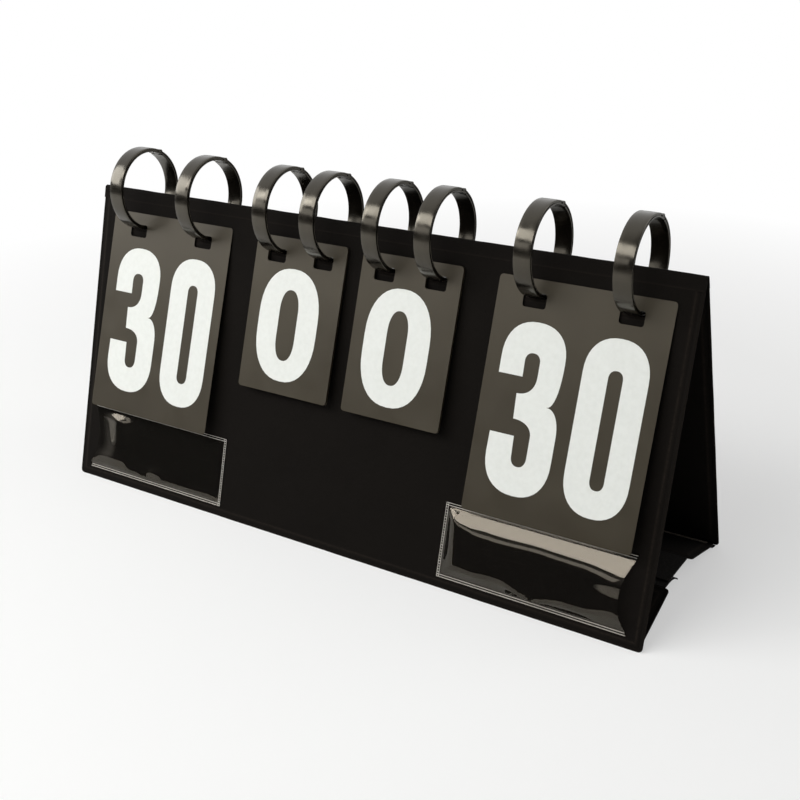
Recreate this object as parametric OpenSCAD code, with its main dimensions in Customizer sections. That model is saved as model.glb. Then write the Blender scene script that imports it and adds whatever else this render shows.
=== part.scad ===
// Tabletop flip scoreboard. Two fabric-covered boards stand as an A-frame on the table.
// Eight snap rings pass through slots near the fold line and carry four sets of number cards.
// X runs along the boards, -Y is the front, Z is up and the table is at Z = 0.

/* [Frame] */
// Length of both boards
board_len = 420; // [400:5:480]
// Height of the fold line between the boards above the table
fold_height = 190; // [170:1:230]
// Half the depth between the outer bottom edges
half_depth = 62.5; // [55:0.5:72]
// Thickness of a board together with its cover
panel_t = 1.8; // [1.6:0.1:2.4]
// Thickness of the cover fabric
fabric_t = 0.3; // [0.2:0.05:0.4]
// Width of the welded rim round a cover
rim_w = 4; // [3:0.5:7]
// Thickness of the welded rim
rim_t = 1; // [0.8:0.1:1.4]
// Corner radius of the covers
cover_r = 3; // [1:0.5:5]
// Width of the weld round each ring slot in a cover
slot_weld = 1.8; // [1:0.1:2.5]
// Space left round a board inside its cover
board_fit = 0.05; // [0.02:0.01:0.1]
// Space between the fold line and the top end of a cover
fold_gap = 0.3; // [0.1:0.1:0.8]

/* [Base] */
// Depth of each stiff base flap
flap_depth = 44; // [34:1:46]
// Thickness of a base flap with its cover
flap_t = 1.8; // [1.6:0.1:2.4]
// Slope of a base flap above the table, in degrees
flap_slope = 17; // [10:1:20]
// Inset of the base flaps from each end of the boards
flap_inset = 2; // [1:0.5:6]
// Gap between a base flap and the board that it hangs on
flap_gap = 0.35; // [0.2:0.05:0.5]
// Inset of the soft tongues from each end of the boards
tongue_inset = 5; // [2:0.5:20]
// Thickness of the hook tongue and the loop tongue
tongue_t = 0.9; // [0.6:0.1:1.2]
// Reach of each tongue past the middle of the base
tongue_lap = 12; // [8:0.5:14]
// Gap between the tongues where they are pressed together
tongue_gap = 0.2; // [0.1:0.05:0.3]
// Droop of the hook tongue's free end
tongue_droop = 6; // [4:0.5:7]

/* [Rings] */
// Inner diameter of a ring
ring_bore = 48.6; // [46:0.1:52]
// Radial thickness of a ring
ring_wall = 2.5; // [2:0.1:3]
// Width of the ring band
ring_w = 10.4; // [9:0.1:12]
// Height of the ring centres above the fold line
ring_rise = 3.2; // [2:0.1:4]
// Width of the groove in each flank of a ring
groove_w = 0.8; // [0.5:0.1:1.2]
// Depth of the groove in each flank of a ring
groove_d = 0.6; // [0.3:0.1:1]
// Edge chamfer of a ring
ring_edge = 0.4; // [0.2:0.1:0.6]
// Place of the ring hinge round the ring, in degrees from the rear
hinge_at = 58; // [45:1:65]
// Radius of the ring hinge's knuckles
knuckle_r = 1.6; // [1.5:0.1:1.8]
// Width of the middle knuckle
knuckle_w = 3.6; // [3:0.1:5]
// Radius of the hinge pin
pin_r = 0.7; // [0.6:0.05:0.9]
// Running clearance of the hinge pin and between the knuckles
pin_fit = 0.06; // [0.05:0.01:0.1]
// Length of the snap tongue
snap_len = 2.4; // [1.6:0.1:3]
// Width of the snap tongue
snap_w = 4.4; // [3:0.1:6]
// Thickness of the snap tongue
snap_t = 1; // [0.8:0.1:1.2]
// Clearance round the snap tongue
snap_fit = 0.12; // [0.1:0.01:0.2]
// Distance of the outer rings from the ends of the boards
ring_end = 35.5; // [34:0.5:36]
// Distance between the two rings of a score card
big_span = 56.1; // [55:0.1:58]
// Distance of the outer rings of the set cards from the middle of the boards
ring_x2 = 57; // [56:0.5:58]
// Distance of the inner rings from the middle
ring_x1 = 22; // [21:0.5:23]
// Side play of a ring in a slot of the boards
ring_side_play = 1.2; // [0.6:0.1:2]
// Space above a ring in a slot of the boards
ring_top_play = 2.2; // [2:0.1:3]
// Space under a ring where it rests on the slots of the boards
ring_seat = 0.3; // [0.25:0.05:0.4]

/* [Cards] */
// Width of a score card
big_w = 102; // [90:1:104]
// Height of a score card
big_h = 134; // [110:1:134]
// Width of a set card
small_w = 67.6; // [60:0.1:70]
// Height of a set card
small_h = 96; // [80:1:110]
// Corner radius of the cards
card_r = 2; // [1:0.5:3]
// Thickness of a card
card_t = 0.2; // [0.15:0.05:0.25]
// Gap between two cards of a set
card_gap = 0.03; // [0.02:0.01:0.04]
// Number of cards in a set of small cards
small_count = 8; // [8]
// Number of cards in each turned pack of score cards
pack_count = 10; // [4:2:10]
// Width of the slots in the cards
slot_w = 14; // [13:0.1:16]
// Height of the slots in the cards
slot_h = 8.4; // [7:0.1:11]
// Height of the strip of card above a slot
card_strip = 7.4; // [6.5:0.1:8]
// Gap between the strip and the bore of the rings that it hangs on
card_hang = 0.35; // [0.25:0.05:0.5]
// The same gap for the turned packs, which move across the rings as the frame folds
pack_hang = 1; // [0.9:0.05:1.2]
// Corner radius of the card slots
slot_r = 1.6; // [0.5:0.1:2]
// Lean of the score cards off the front board, in degrees
big_lean = 3; // [2:0.25:4]
// Lean of the set cards off the front board, in degrees
small_lean = 2.5; // [2:0.25:5]
// Lean of the turned packs off the rear board, in degrees
pack_lean = 2; // [1:0.25:3]
// Gap between the top edge of the nearest card and the board behind it
card_seat = 0.25; // [0.2:0.05:0.4]
// Gap between two turned packs
pack_gap = 0.08; // [0.05:0.01:0.15]
// Inset of every second card edge in a turned pack
pack_step = 0.25; // [0.1:0.05:0.5]

/* [Pockets] */
// Length of a clear pocket
pocket_len = 118; // [100:1:120]
// Height of a clear pocket
pocket_h = 45.5; // [36:0.5:46]
// Distance of a pocket's open end from the end of the boards
pocket_inset = 10; // [8:0.5:12]
// Distance of a pocket's lower weld from the table, along the board
pocket_rise = 7; // [5.5:0.5:8]
// Thickness of the clear sheet
pocket_t = 0.35; // [0.2:0.05:0.5]
// Width of the welds along a pocket
pocket_weld = 2.4; // [1.5:0.1:3]
// Rise of the sheet off the board at the middle of a pocket
pocket_bulge = 4.2; // [3:0.1:4.5]
// Depth of the curve cut into a pocket's open end
pocket_cut = 6; // [3:0.5:9]

/* [Hidden] */
ring_fn = 96;
small_fn = 32;
ring_ids = [1 : 8];
small_ids = [0 : small_count - 1];
tens = [0, 1, 2];
sides = ["left", "right"];
pack_names = ["0_to_9", "10_to_19", "20_to_29"];

fabric_colour = [0.11, 0.1, 0.1];
board_colour = [0.55, 0.5, 0.42];
ring_colour = [0.16, 0.15, 0.14];
card_colour = [0.36, 0.34, 0.31];
clear_colour = [0.75, 0.78, 0.8, 0.35];
hook_colour = [0.07, 0.07, 0.07];

// Slope of the boards from the vertical: the outer faces end half_depth from the middle
stand_r = norm([half_depth, fold_height]);
lean = acos(panel_t / stand_r) - atan2(fold_height, half_depth);

// Radii of the ring band, and the middle of its wall
ring_ri = ring_bore / 2;
ring_ro = ring_ri + ring_wall;
ring_rm = ring_ri + ring_wall / 2;
ring_x4 = board_len / 2 - ring_end;
ring_x3 = ring_x4 - big_span;
ring_x = [-ring_x4, -ring_x3, -ring_x2, -ring_x1, ring_x1, ring_x2, ring_x3, ring_x4];

// Distance down a board, from the fold line, to the table at the height n off its inner face
function down_to_table(n) = (fold_height + n * sin(lean)) / cos(lean);

// Distance down a board to the ring circle of radius r, at the height n off its inner face
function down_to_ring(r, n) =
    sqrt(pow(r, 2) - pow(n - ring_rise * sin(lean), 2)) - ring_rise * cos(lean);

panel_slot_top = down_to_ring(ring_ri, panel_t / 2) - ring_top_play;
panel_slot_end = down_to_ring(ring_ro, panel_t / 2) + ring_seat;
panel_slot_h = panel_slot_end - panel_slot_top;
panel_slot_w = ring_w + 2 * ring_side_play;
panel_slot_y = -(panel_slot_top + panel_slot_end) / 2;
panel_slot_r = 1.5;

// Line on which a base flap turns: on the inner face of its board, just above the table
flap_line_z = flap_t + 0.4;
flap_line_down = (fold_height - flap_line_z) / cos(lean);
flap_line_y = flap_line_down * sin(lean);

// The cards turn about the line through the ring centres. Height of that line off a board's
// outer face, and distance from it down to the top edge of a card
turn_off = ring_rise * sin(lean) - panel_t;
card_top = ring_ri - card_hang - card_strip;
pack_top = ring_ri - pack_hang - card_strip;
card_pitch = card_t + card_gap;
pack_t = pack_count * card_t;
pack_pitch = pack_t + pack_gap;

// Offset of a card with this lean that leaves a card_seat gap at its top edge, top below the line
function first_offset(tilt, top) = (card_seat - turn_off - top * sin(tilt)) / cos(tilt);

// A card further off the turning line hangs a little higher, as the ring curves away
function hang_rise(d) = ring_ri - sqrt(pow(ring_ri, 2) - pow(d, 2));

function card_x(side, w_in, w_out) = (side == "left" ? -1 : 1) * (w_in + w_out) / 2;

// Points of a rectangle with round corners, made of straight runs so that cards stay flat-faced
function corner_points(w, h, r, steps = 3) = [
    for (q = [0 : 3], k = [0 : steps])
        let (a = q * 90 + k * 90 / steps)
        [(q == 0 || q == 3 ? 1 : -1) * (w / 2 - r) + r * cos(a),
         (q < 2 ? 1 : -1) * (h / 2 - r) + r * sin(a)]
];

// Puts a shape drawn in a board's own plane on the front board. X stays, Y points up the slope,
// Z points outward from the inner face, and the origin is on the fold line.
module on_front() {
    translate([0, 0, fold_height]) rotate([90 - lean, 0, 0]) children();
}

module on_rear() {
    mirror([0, 1, 0]) on_front() children();
}

// Extrudes a profile drawn in Y and Z along X, centred
module along_x(length) {
    translate([-length / 2, 0, 0]) rotate([90, 0, 90]) linear_extrude(length) children();
}

// Cover, board and slots

module round_slot(w, h, r, t) {
    linear_extrude(t) {
        square([w - 2 * r, h], center = true);
        square([w, h - 2 * r], center = true);
        for (x = [-1, 1], y = [-1, 1])
            translate([x * (w / 2 - r), y * (h / 2 - r)]) circle(r, $fn = small_fn);
    }
}

module ring_slots(grow) {
    for (x = ring_x)
        translate([x, panel_slot_y, -1])
            round_slot(panel_slot_w + 2 * grow, panel_slot_h + 2 * grow, panel_slot_r + grow, panel_t + 2);
}

// Flat core of a cover, less the rim. grow is positive for the space that the board lies in.
module core_block(len, depth, start, t, skin, grow) {
    h = depth - rim_w - start - 2 * skin + 2 * grow;
    translate([0, -start - skin + grow - h / 2, t / 2])
        cube([len - 2 * rim_w - 2 * skin + 2 * grow, h, t - 2 * skin + 2 * grow], center = true);
}

module board_in_cover(len, depth, start, t) {
    core_block(len, depth, start, t, fabric_t + board_fit, 0);
}

module panel_rim() {
    z0 = (panel_t - rim_t) / 2;
    z1 = (panel_t + rim_t) / 2;
    intersection() {
        along_x(board_len)
            polygon([[-fold_gap, z0], [-fold_gap, z1], [-down_to_table(z1), z1], [-down_to_table(z0), z0]]);
        translate([0, -down_to_table(z1) / 2, z0 - 0.5])
            round_slot(board_len, down_to_table(z1), cover_r, rim_t + 1);
    }
}

module panel_cover() {
    depth = down_to_table(0);
    difference() {
        union() {
            panel_rim();
            core_block(board_len, depth, fold_gap, panel_t, 0, 0);
        }
        difference() {
            core_block(board_len, depth, fold_gap, panel_t, fabric_t, 0);
            ring_slots(slot_weld);
        }
        ring_slots(0);
    }
}

module panel_board() {
    difference() {
        board_in_cover(board_len, down_to_table(0), fold_gap, panel_t);
        ring_slots(slot_weld + board_fit);
    }
}

module front_cover() {
    color(fabric_colour) on_front() panel_cover();
}

module front_board() {
    color(board_colour) on_front() panel_board();
}

module rear_cover() {
    color(fabric_colour) on_rear() panel_cover();
}

module rear_board() {
    color(board_colour) on_rear() panel_board();
}

// Fabric that runs over the fold line from one cover to the other
module fold_strip() {
    color(fabric_colour)
        translate([0, 0, fold_height]) rotate([90, 0, 90])
            translate([0, 0, -board_len / 2]) rotate([0, 0, lean])
                rotate_extrude(angle = 180 - 2 * lean, $fn = small_fn)
                    translate([panel_t - fabric_t, 0]) square([fabric_t, board_len]);
}

// Base flaps. The front one is drawn and the rear one is its mirror image.

module flap_place() {
    translate([0, -flap_line_y, flap_line_z]) rotate([flap_slope, 0, 0])
        mirror([0, 1, 0]) mirror([0, 0, 1]) children();
}

module flap_cover() {
    len = board_len - 2 * flap_inset;
    z0 = (flap_t - rim_t) / 2;
    flap_place() difference() {
        union() {
            translate([0, -(flap_depth + flap_gap) / 2, z0])
                round_slot(len, flap_depth - flap_gap, cover_r, rim_t);
            core_block(len, flap_depth, flap_gap, flap_t, 0, 0);
        }
        core_block(len, flap_depth, flap_gap, flap_t, fabric_t, 0);
    }
}

module flap_board() {
    flap_place() board_in_cover(board_len - 2 * flap_inset, flap_depth, flap_gap, flap_t);
}

// Fabric that joins a board's bottom edge to its flap, round the line on which the flap turns
module flap_hinge() {
    translate([-board_len / 2 + flap_inset, -flap_line_y, flap_line_z]) rotate([90, 0, 90])
        rotate([0, 0, 270 - lean])
            rotate_extrude(angle = flap_slope + lean, $fn = small_fn)
                translate([flap_line_z - fabric_t, 0])
                    square([fabric_t, board_len - 2 * flap_inset]);
}

module front_base_cover() {
    color(fabric_colour) flap_cover();
}

module front_base_board() {
    color(board_colour) flap_board();
}

module rear_base_cover() {
    color(fabric_colour) mirror([0, 1, 0]) flap_cover();
}

module rear_base_board() {
    color(board_colour) mirror([0, 1, 0]) flap_board();
}

module front_base_hinge() {
    color(fabric_colour) flap_hinge();
}

module rear_base_hinge() {
    color(fabric_colour) mirror([0, 1, 0]) flap_hinge();
}

// Free edge of the front flap: Y and Z of the middle of its rim
flap_end_y = -flap_line_y + flap_depth * cos(flap_slope) + flap_t / 2 * sin(flap_slope);
flap_end_z = flap_line_z + flap_depth * sin(flap_slope) - flap_t / 2 * cos(flap_slope);

// Soft strip that follows the points of its underside
module tongue(points) {
    along_x(board_len - 2 * tongue_inset)
        polygon(concat(points, [for (i = [len(points) - 1 : -1 : 0]) points[i] + [0, tongue_t]]));
}

// Lower tongue, on the front flap. Its free end droops clear of the upper one.
module hook_tongue() {
    run = tongue_lap / 4 - flap_end_y;
    color(hook_colour) tongue([
        for (k = [0 : 6])
            [flap_end_y + 0.1 + run * k / 6,
             flap_end_z - tongue_t / 2 - tongue_droop * pow(k / 6, 3)]
    ]);
}

// Upper tongue, on the rear flap
module loop_tongue() {
    run = -flap_end_y + tongue_lap;
    color(fabric_colour) tongue([
        for (k = [0 : 6])
            [-flap_end_y - 0.1 - run * k / 6,
             flap_end_z - tongue_t / 2 + (tongue_t + tongue_gap) * sin(90 * k / 6)]
    ]);
}

// Clear pockets on the front board

// Distance from the middle of the boards to a pocket's welded inner end
pocket_x = board_len / 2 - pocket_inset - pocket_len;

// Height of the sheet off the board at the share p of its length and q of its height.
// It is welded along the bottom, the top and the end p = 0, and open at p = 1.
function pocket_lift(p, q) =
    let (
        e = pocket_weld / pocket_h,
        f = pocket_weld / pocket_len,
        a = max(0, min(1, (q - e) / (1 - 2 * e))),
        b = max(0, min(1, (p - f) / (0.22 - f)))
    )
    pocket_bulge * pow(sin(180 * a), 0.7) * sin(90 * b) * (1 - 0.18 * p);

function pocket_point(p, q, up) =
    [p * (pocket_len - pocket_cut * sin(180 * q)), q * pocket_h, pocket_lift(p, q) + up];

module pocket_sheet() {
    np = 20;
    nq = 14;
    row = nq + 1;
    count = (np + 1) * row;
    weld_share = pocket_weld / pocket_h;
    steps = [
        for (j = [0 : nq])
            j == 0 ? 0 : j == nq ? 1 : weld_share + (1 - 2 * weld_share) * (j - 1) / (nq - 2)
    ];
    points = [
        for (up = [0, pocket_t], i = [0 : np], j = [0 : nq])
            pocket_point(i / np, steps[j], up)
    ];
    skins = [
        for (i = [0 : np - 1], j = [0 : nq - 1])
            let (a = i * row + j, b = a + 1, c = a + row, d = c + 1)
            each [[a, b, d], [a, d, c], [count + a, count + d, count + b], [count + a, count + c, count + d]]
    ];
    ends = [
        for (j = [0 : nq - 1], i = [0, np])
            let (a = i * row + j, b = a + 1)
            each i == 0
                ? [[a, count + a, count + b], [a, count + b, b]]
                : [[a, count + b, count + a], [a, b, count + b]]
    ];
    rims = [
        for (i = [0 : np - 1], j = [0, nq])
            let (a = i * row + j, c = a + row)
            each j == 0
                ? [[a, count + c, count + a], [a, c, count + c]]
                : [[a, count + a, count + c], [a, count + c, c]]
    ];
    polyhedron(points, concat(skins, ends, rims), convexity = 6);
}

module pocket() {
    on_front()
        translate([pocket_x, -down_to_table(panel_t) + pocket_rise, panel_t + 0.05]) pocket_sheet();
}

module right_pocket() {
    color(clear_colour) pocket();
}

module left_pocket() {
    color(clear_colour) mirror([1, 0, 0]) pocket();
}

// Snap rings. An arc stays threaded through the boards, and a gate opens on the arc's hinge.

// Places a shape drawn in the ring's plane: X runs rearward, Y up and Z along the boards
module ring_place(i) {
    translate([ring_x[i - 1], 0, fold_height + ring_rise]) rotate([90, 0, 90]) children();
}

// Half of the band's section, with the chamfers and the groove of one flank
function flank_points(s) = [
    [ring_ri, s * (ring_w / 2 - ring_edge)],
    [ring_ri + ring_edge, s * ring_w / 2],
    [ring_rm - groove_w / 2, s * ring_w / 2],
    [ring_rm - groove_w / 2, s * (ring_w / 2 - groove_d)],
    [ring_rm + groove_w / 2, s * (ring_w / 2 - groove_d)],
    [ring_rm + groove_w / 2, s * ring_w / 2],
    [ring_ro - ring_edge, s * ring_w / 2],
    [ring_ro, s * (ring_w / 2 - ring_edge)]
];

module band(from, to) {
    near = flank_points(-1);
    far = flank_points(1);
    rotate([0, 0, from]) rotate_extrude(angle = to - from, $fn = ring_fn)
        polygon(concat(near, [for (k = [len(far) - 1 : -1 : 0]) far[k]]));
}

// Plain strip of the band from the hinge, between two heights across the band
module lug(from, to, low, high) {
    rotate([0, 0, from]) rotate_extrude(angle = to - from, $fn = ring_fn)
        translate([ring_ri + 0.1, low]) square([ring_wall - 0.2, high - low]);
}

// The knuckles lie flush with the bore, so that the cards pass over them
module at_hinge() {
    rotate([0, 0, hinge_at]) translate([ring_ri + knuckle_r, 0, 0]) rotate([0, 0, 20]) children();
}

// Angle that a length takes up round the middle of the band's wall
function arc_angle(length) = length * 180 / (PI * ring_rm);

hinge_half = arc_angle(knuckle_r + 0.25);
snap_half = arc_angle(0.03);
// The lugs end inside their knuckles, short of the pin's axis
lug_end = arc_angle(knuckle_r / 4);
side_knuckle_low = knuckle_w / 2 + pin_fit;
pin_reach = ring_w / 2 - 0.2;

module ring_arc(i) {
    color(ring_colour) ring_place(i) {
        band(hinge_at - 180 + snap_half, hinge_at - hinge_half);
        lug(hinge_at - hinge_half - 1, hinge_at - lug_end, -knuckle_w / 2, knuckle_w / 2);
        at_hinge() {
            translate([0, 0, -knuckle_w / 2]) cylinder(h = knuckle_w, r = knuckle_r, $fn = small_fn);
            translate([0, 0, -pin_reach]) cylinder(h = 2 * pin_reach, r = pin_r, $fn = small_fn);
        }
        snap_body(snap_w, snap_t, snap_len);
    }
}

// Tongue of the snap, or with larger sizes the socket that it enters
module snap_body(w, t, reach) {
    rotate([0, 0, hinge_at - 180]) translate([ring_rm - t / 2, -reach, -w / 2])
        cube([t, reach + 1, w]);
}

module ring_gate(i) {
    color(ring_colour) ring_place(i) difference() {
        union() {
            band(hinge_at + hinge_half, hinge_at + 180 - snap_half);
            for (s = [-1, 1]) {
                low = s < 0 ? -ring_w / 2 + 0.1 : side_knuckle_low;
                high = s < 0 ? -side_knuckle_low : ring_w / 2 - 0.1;
                lug(hinge_at + lug_end, hinge_at + hinge_half + 1, low, high);
                at_hinge() translate([0, 0, low])
                    cylinder(h = high - low, r = knuckle_r, $fn = small_fn);
            }
        }
        at_hinge() translate([0, 0, -ring_w]) cylinder(h = 2 * ring_w, r = pin_r + pin_fit, $fn = small_fn);
        snap_body(snap_w + 2 * snap_fit, snap_t + 2 * snap_fit, snap_len + snap_fit);
    }
}

// Number cards

// Outline of a card with its two slots, Y up and the top edge at Y = 0
module card_outline(w, h, slot_at, inset = 0) {
    difference() {
        translate([0, -h / 2]) polygon(corner_points(w - 2 * inset, h - 2 * inset, card_r));
        for (x = slot_at)
            translate([x, -card_strip - slot_h / 2]) polygon(corner_points(slot_w, slot_h, slot_r));
    }
}

// Puts a card, or a pack as deep as the last value, on the front at the offset d from the turning line
module hang_card(x, tilt, d, top, deep) {
    translate([x, 0, fold_height + ring_rise]) rotate([90 - lean - tilt, 0, 0])
        translate([0, -top + hang_rise(d + deep), d]) children();
}

small_mid = (ring_x1 + ring_x2) / 2;
big_mid = (ring_x3 + ring_x4) / 2;
small_slots = [-(ring_x2 - ring_x1) / 2, (ring_x2 - ring_x1) / 2];
big_slots = [-(ring_x4 - ring_x3) / 2, (ring_x4 - ring_x3) / 2];

function side_sign(side) = side == "left" ? -1 : 1;

// Set card number i. Card 0 is on top, so it lies furthest off the board.
module set_card(side, i) {
    d = first_offset(small_lean, card_top) + (small_count - 1 - i) * card_pitch;
    color(card_colour) hang_card(side_sign(side) * small_mid, small_lean, d, card_top, 0)
        linear_extrude(card_t) card_outline(small_w, small_h, small_slots);
}

module score_card_30(side) {
    d = first_offset(big_lean, card_top);
    color(card_colour) hang_card(side_sign(side) * big_mid, big_lean, d, card_top, 0)
        linear_extrude(card_t) card_outline(big_w, big_h, big_slots);
}

// Ten turned score cards as a block with stepped edges. Pack 0 was turned first.
module score_pack(side, k) {
    d = first_offset(pack_lean, pack_top) + k * pack_pitch;
    color(card_colour) mirror([0, 1, 0])
        hang_card(side_sign(side) * big_mid, pack_lean, d, pack_top, pack_t) {
            linear_extrude(pack_t) card_outline(big_w, big_h, big_slots, pack_step);
            for (j = [0 : 2 : pack_count - 1])
                translate([0, 0, j * card_t])
                    linear_extrude(card_t) card_outline(big_w, big_h, big_slots);
        }
}

front_cover();
front_board();
rear_cover();
rear_board();
fold_strip();
front_base_cover();
front_base_board();
rear_base_cover();
rear_base_board();
front_base_hinge();
rear_base_hinge();
hook_tongue();
loop_tongue();
left_pocket();
right_pocket();
for (i = ring_ids) {
    ring_arc(i);
    ring_gate(i);
}
for (s = sides) {
    for (i = small_ids)
        set_card(s, i);
    score_card_30(s);
    for (k = tens)
        score_pack(s, k);
}
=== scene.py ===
"""Looks of a tabletop flip scoreboard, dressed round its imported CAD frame.

X runs along the boards, -Y is the front and Z is up. Sizes are in millimetres until a mesh
is made, where they become metres.
"""

import logging
import math
from dataclasses import dataclass
from enum import Enum
from typing import Callable, Iterable, Sequence

import bmesh
import bpy
from mathutils import Matrix, Vector, noise
from mathutils.geometry import tessellate_polygon


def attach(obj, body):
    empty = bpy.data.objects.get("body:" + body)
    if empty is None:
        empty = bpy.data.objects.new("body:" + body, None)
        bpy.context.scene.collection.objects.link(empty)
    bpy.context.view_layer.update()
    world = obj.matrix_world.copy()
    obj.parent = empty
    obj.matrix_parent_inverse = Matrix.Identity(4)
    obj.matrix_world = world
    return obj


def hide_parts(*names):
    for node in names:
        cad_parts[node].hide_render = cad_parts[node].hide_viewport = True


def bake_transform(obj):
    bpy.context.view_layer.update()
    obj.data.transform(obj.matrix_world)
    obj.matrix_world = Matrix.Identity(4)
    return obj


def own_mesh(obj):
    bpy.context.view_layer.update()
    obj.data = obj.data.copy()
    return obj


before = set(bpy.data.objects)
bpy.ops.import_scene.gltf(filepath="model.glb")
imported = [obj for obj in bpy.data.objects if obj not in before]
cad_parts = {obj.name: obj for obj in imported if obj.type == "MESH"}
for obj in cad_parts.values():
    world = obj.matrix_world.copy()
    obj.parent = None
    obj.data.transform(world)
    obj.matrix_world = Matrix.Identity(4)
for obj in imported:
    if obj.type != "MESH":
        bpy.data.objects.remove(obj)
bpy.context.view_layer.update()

log = logging.getLogger("scoreboard")

MM = 0.001
Point = tuple[float, float, float]
Pair = tuple[float, float]
Label = tuple[str, str]
Place = Callable[[float, float, float], Point]


# Measures shared by the sub-assemblies


@dataclass(frozen=True)
class StandSizes:
    """Sizes that the boards, rings and cards have in common, in millimetres and degrees."""

    board_len: float = 420.0
    fold_height: float = 190.0
    lean: float = 17.692856
    panel_t: float = 1.8
    ring_rise: float = 3.2
    ring_ri: float = 24.3
    ring_ro: float = 26.8
    ring_w: float = 10.4
    ring_x: tuple[float, ...] = (-174.5, -118.4, -57.0, -22.0, 22.0, 57.0, 118.4, 174.5)
    slot_w: float = 12.8
    slot_top: float = 19.05
    slot_end: float = 24.05
    slot_r: float = 1.5

    @property
    def sin(self) -> float:
        """Sine of the boards' lean off the vertical."""
        return math.sin(math.radians(self.lean))

    @property
    def cos(self) -> float:
        """Cosine of the boards' lean off the vertical."""
        return math.cos(math.radians(self.lean))

    def down_to_table(self, n: float) -> float:
        """Distance down the slope to the table, at the height n off the inner face."""
        return (self.fold_height + n * self.sin) / self.cos

    def on_panel(self, face: "Face") -> Place:
        """Place of a point given as x, distance down the slope and height off the inner face.

        Args:
            face: board that the point lies on.

        Returns:
            The function that places a point.
        """

        def place(x: float, v: float, n: float) -> Point:
            """Places a point, and holds it above the table.

            Args:
                x: place along the boards.
                v: distance down the slope.
                n: height off the inner face.

            Returns:
                The point.
            """
            v = min(v, self.down_to_table(n))
            y = -v * self.sin - n * self.cos
            return (x, y * -face.value, self.fold_height - v * self.cos + n * self.sin)

        return place


class Face(Enum):
    """The two boards, by the sign of Y that they lean to."""

    FRONT = -1
    REAR = 1


class Side(Enum):
    """The two ends of the boards, by the sign of X."""

    LEFT = -1
    RIGHT = 1


class Fold(Enum):
    """How a soft piece is hung: one that bends stays off the bodies, one that flattens is attached to its
    body.
    """

    BENDS = "bends"
    FLATTENS = "flattens"


STAND = StandSizes()


# Colour and node helpers

NOISE = "ShaderNodeTexNoise"
MATH = "ShaderNodeMath"
MIX = "ShaderNodeMix"
SPAN = "ShaderNodeMapRange"
BUMP = "ShaderNodeBump"


def linear(colour: str) -> tuple[float, float, float, float]:
    """Turns an sRGB hex colour into linear light.

    Args:
        colour: six hex digits after a number sign.

    Returns:
        Red, green and blue as linear values, and an alpha of 1.
    """
    parts = [int(colour[i : i + 2], 16) / 255 for i in (1, 3, 5)]
    light = [c / 12.92 if c <= 0.04045 else ((c + 0.055) / 1.055) ** 2.4 for c in parts]
    return (light[0], light[1], light[2], 1.0)


def add_node(
    tree: bpy.types.NodeTree,
    kind: str,
    inputs: dict | None = None,
    into: bpy.types.NodeSocket | None = None,
    **settings: object,
) -> bpy.types.Node:
    """Adds a node to a tree, sets it up and links it.

    Args:
        tree: node tree that takes the node.
        kind: the node's type name.
        inputs: value or output socket for each input, by name or number. A node stands for its
            first output.
        into: input socket that takes the node's first output.
        settings: properties of the node itself.

    Returns:
        The new node.
    """
    node = tree.nodes.new(kind)
    for name, value in settings.items():
        setattr(node, name, value)
    for key, value in (inputs or {}).items():
        if isinstance(value, bpy.types.Node):
            value = value.outputs[0]
        if isinstance(value, bpy.types.NodeSocket):
            tree.links.new(value, node.inputs[key])
        else:
            node.inputs[key].default_value = value
    if into is not None:
        tree.links.new(node.outputs[0], into)
    return node


@dataclass(frozen=True)
class Finish:
    """A finish of one real material. Subclasses say how its surface was made."""

    name: str
    base: str
    rough: float
    specular: float = 0.5
    ior: float = 1.5
    tint: str = "#ffffff"

    def start(self) -> tuple[bpy.types.Material, bpy.types.NodeTree, bpy.types.Node]:
        """Makes the material with its main shader.

        Returns:
            The material, its node tree and its Principled shader.
        """
        made = bpy.data.materials.new(self.name)
        made.use_nodes = True
        tree = made.node_tree
        shader = tree.nodes["Principled BSDF"]
        shader.inputs["Base Color"].default_value = linear(self.base)
        shader.inputs["Roughness"].default_value = self.rough
        shader.inputs["IOR"].default_value = self.ior
        shader.inputs["Specular IOR Level"].default_value = self.specular
        shader.inputs["Specular Tint"].default_value = linear(self.tint)
        made.diffuse_color = linear(self.base)
        return made, tree, shader


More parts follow.
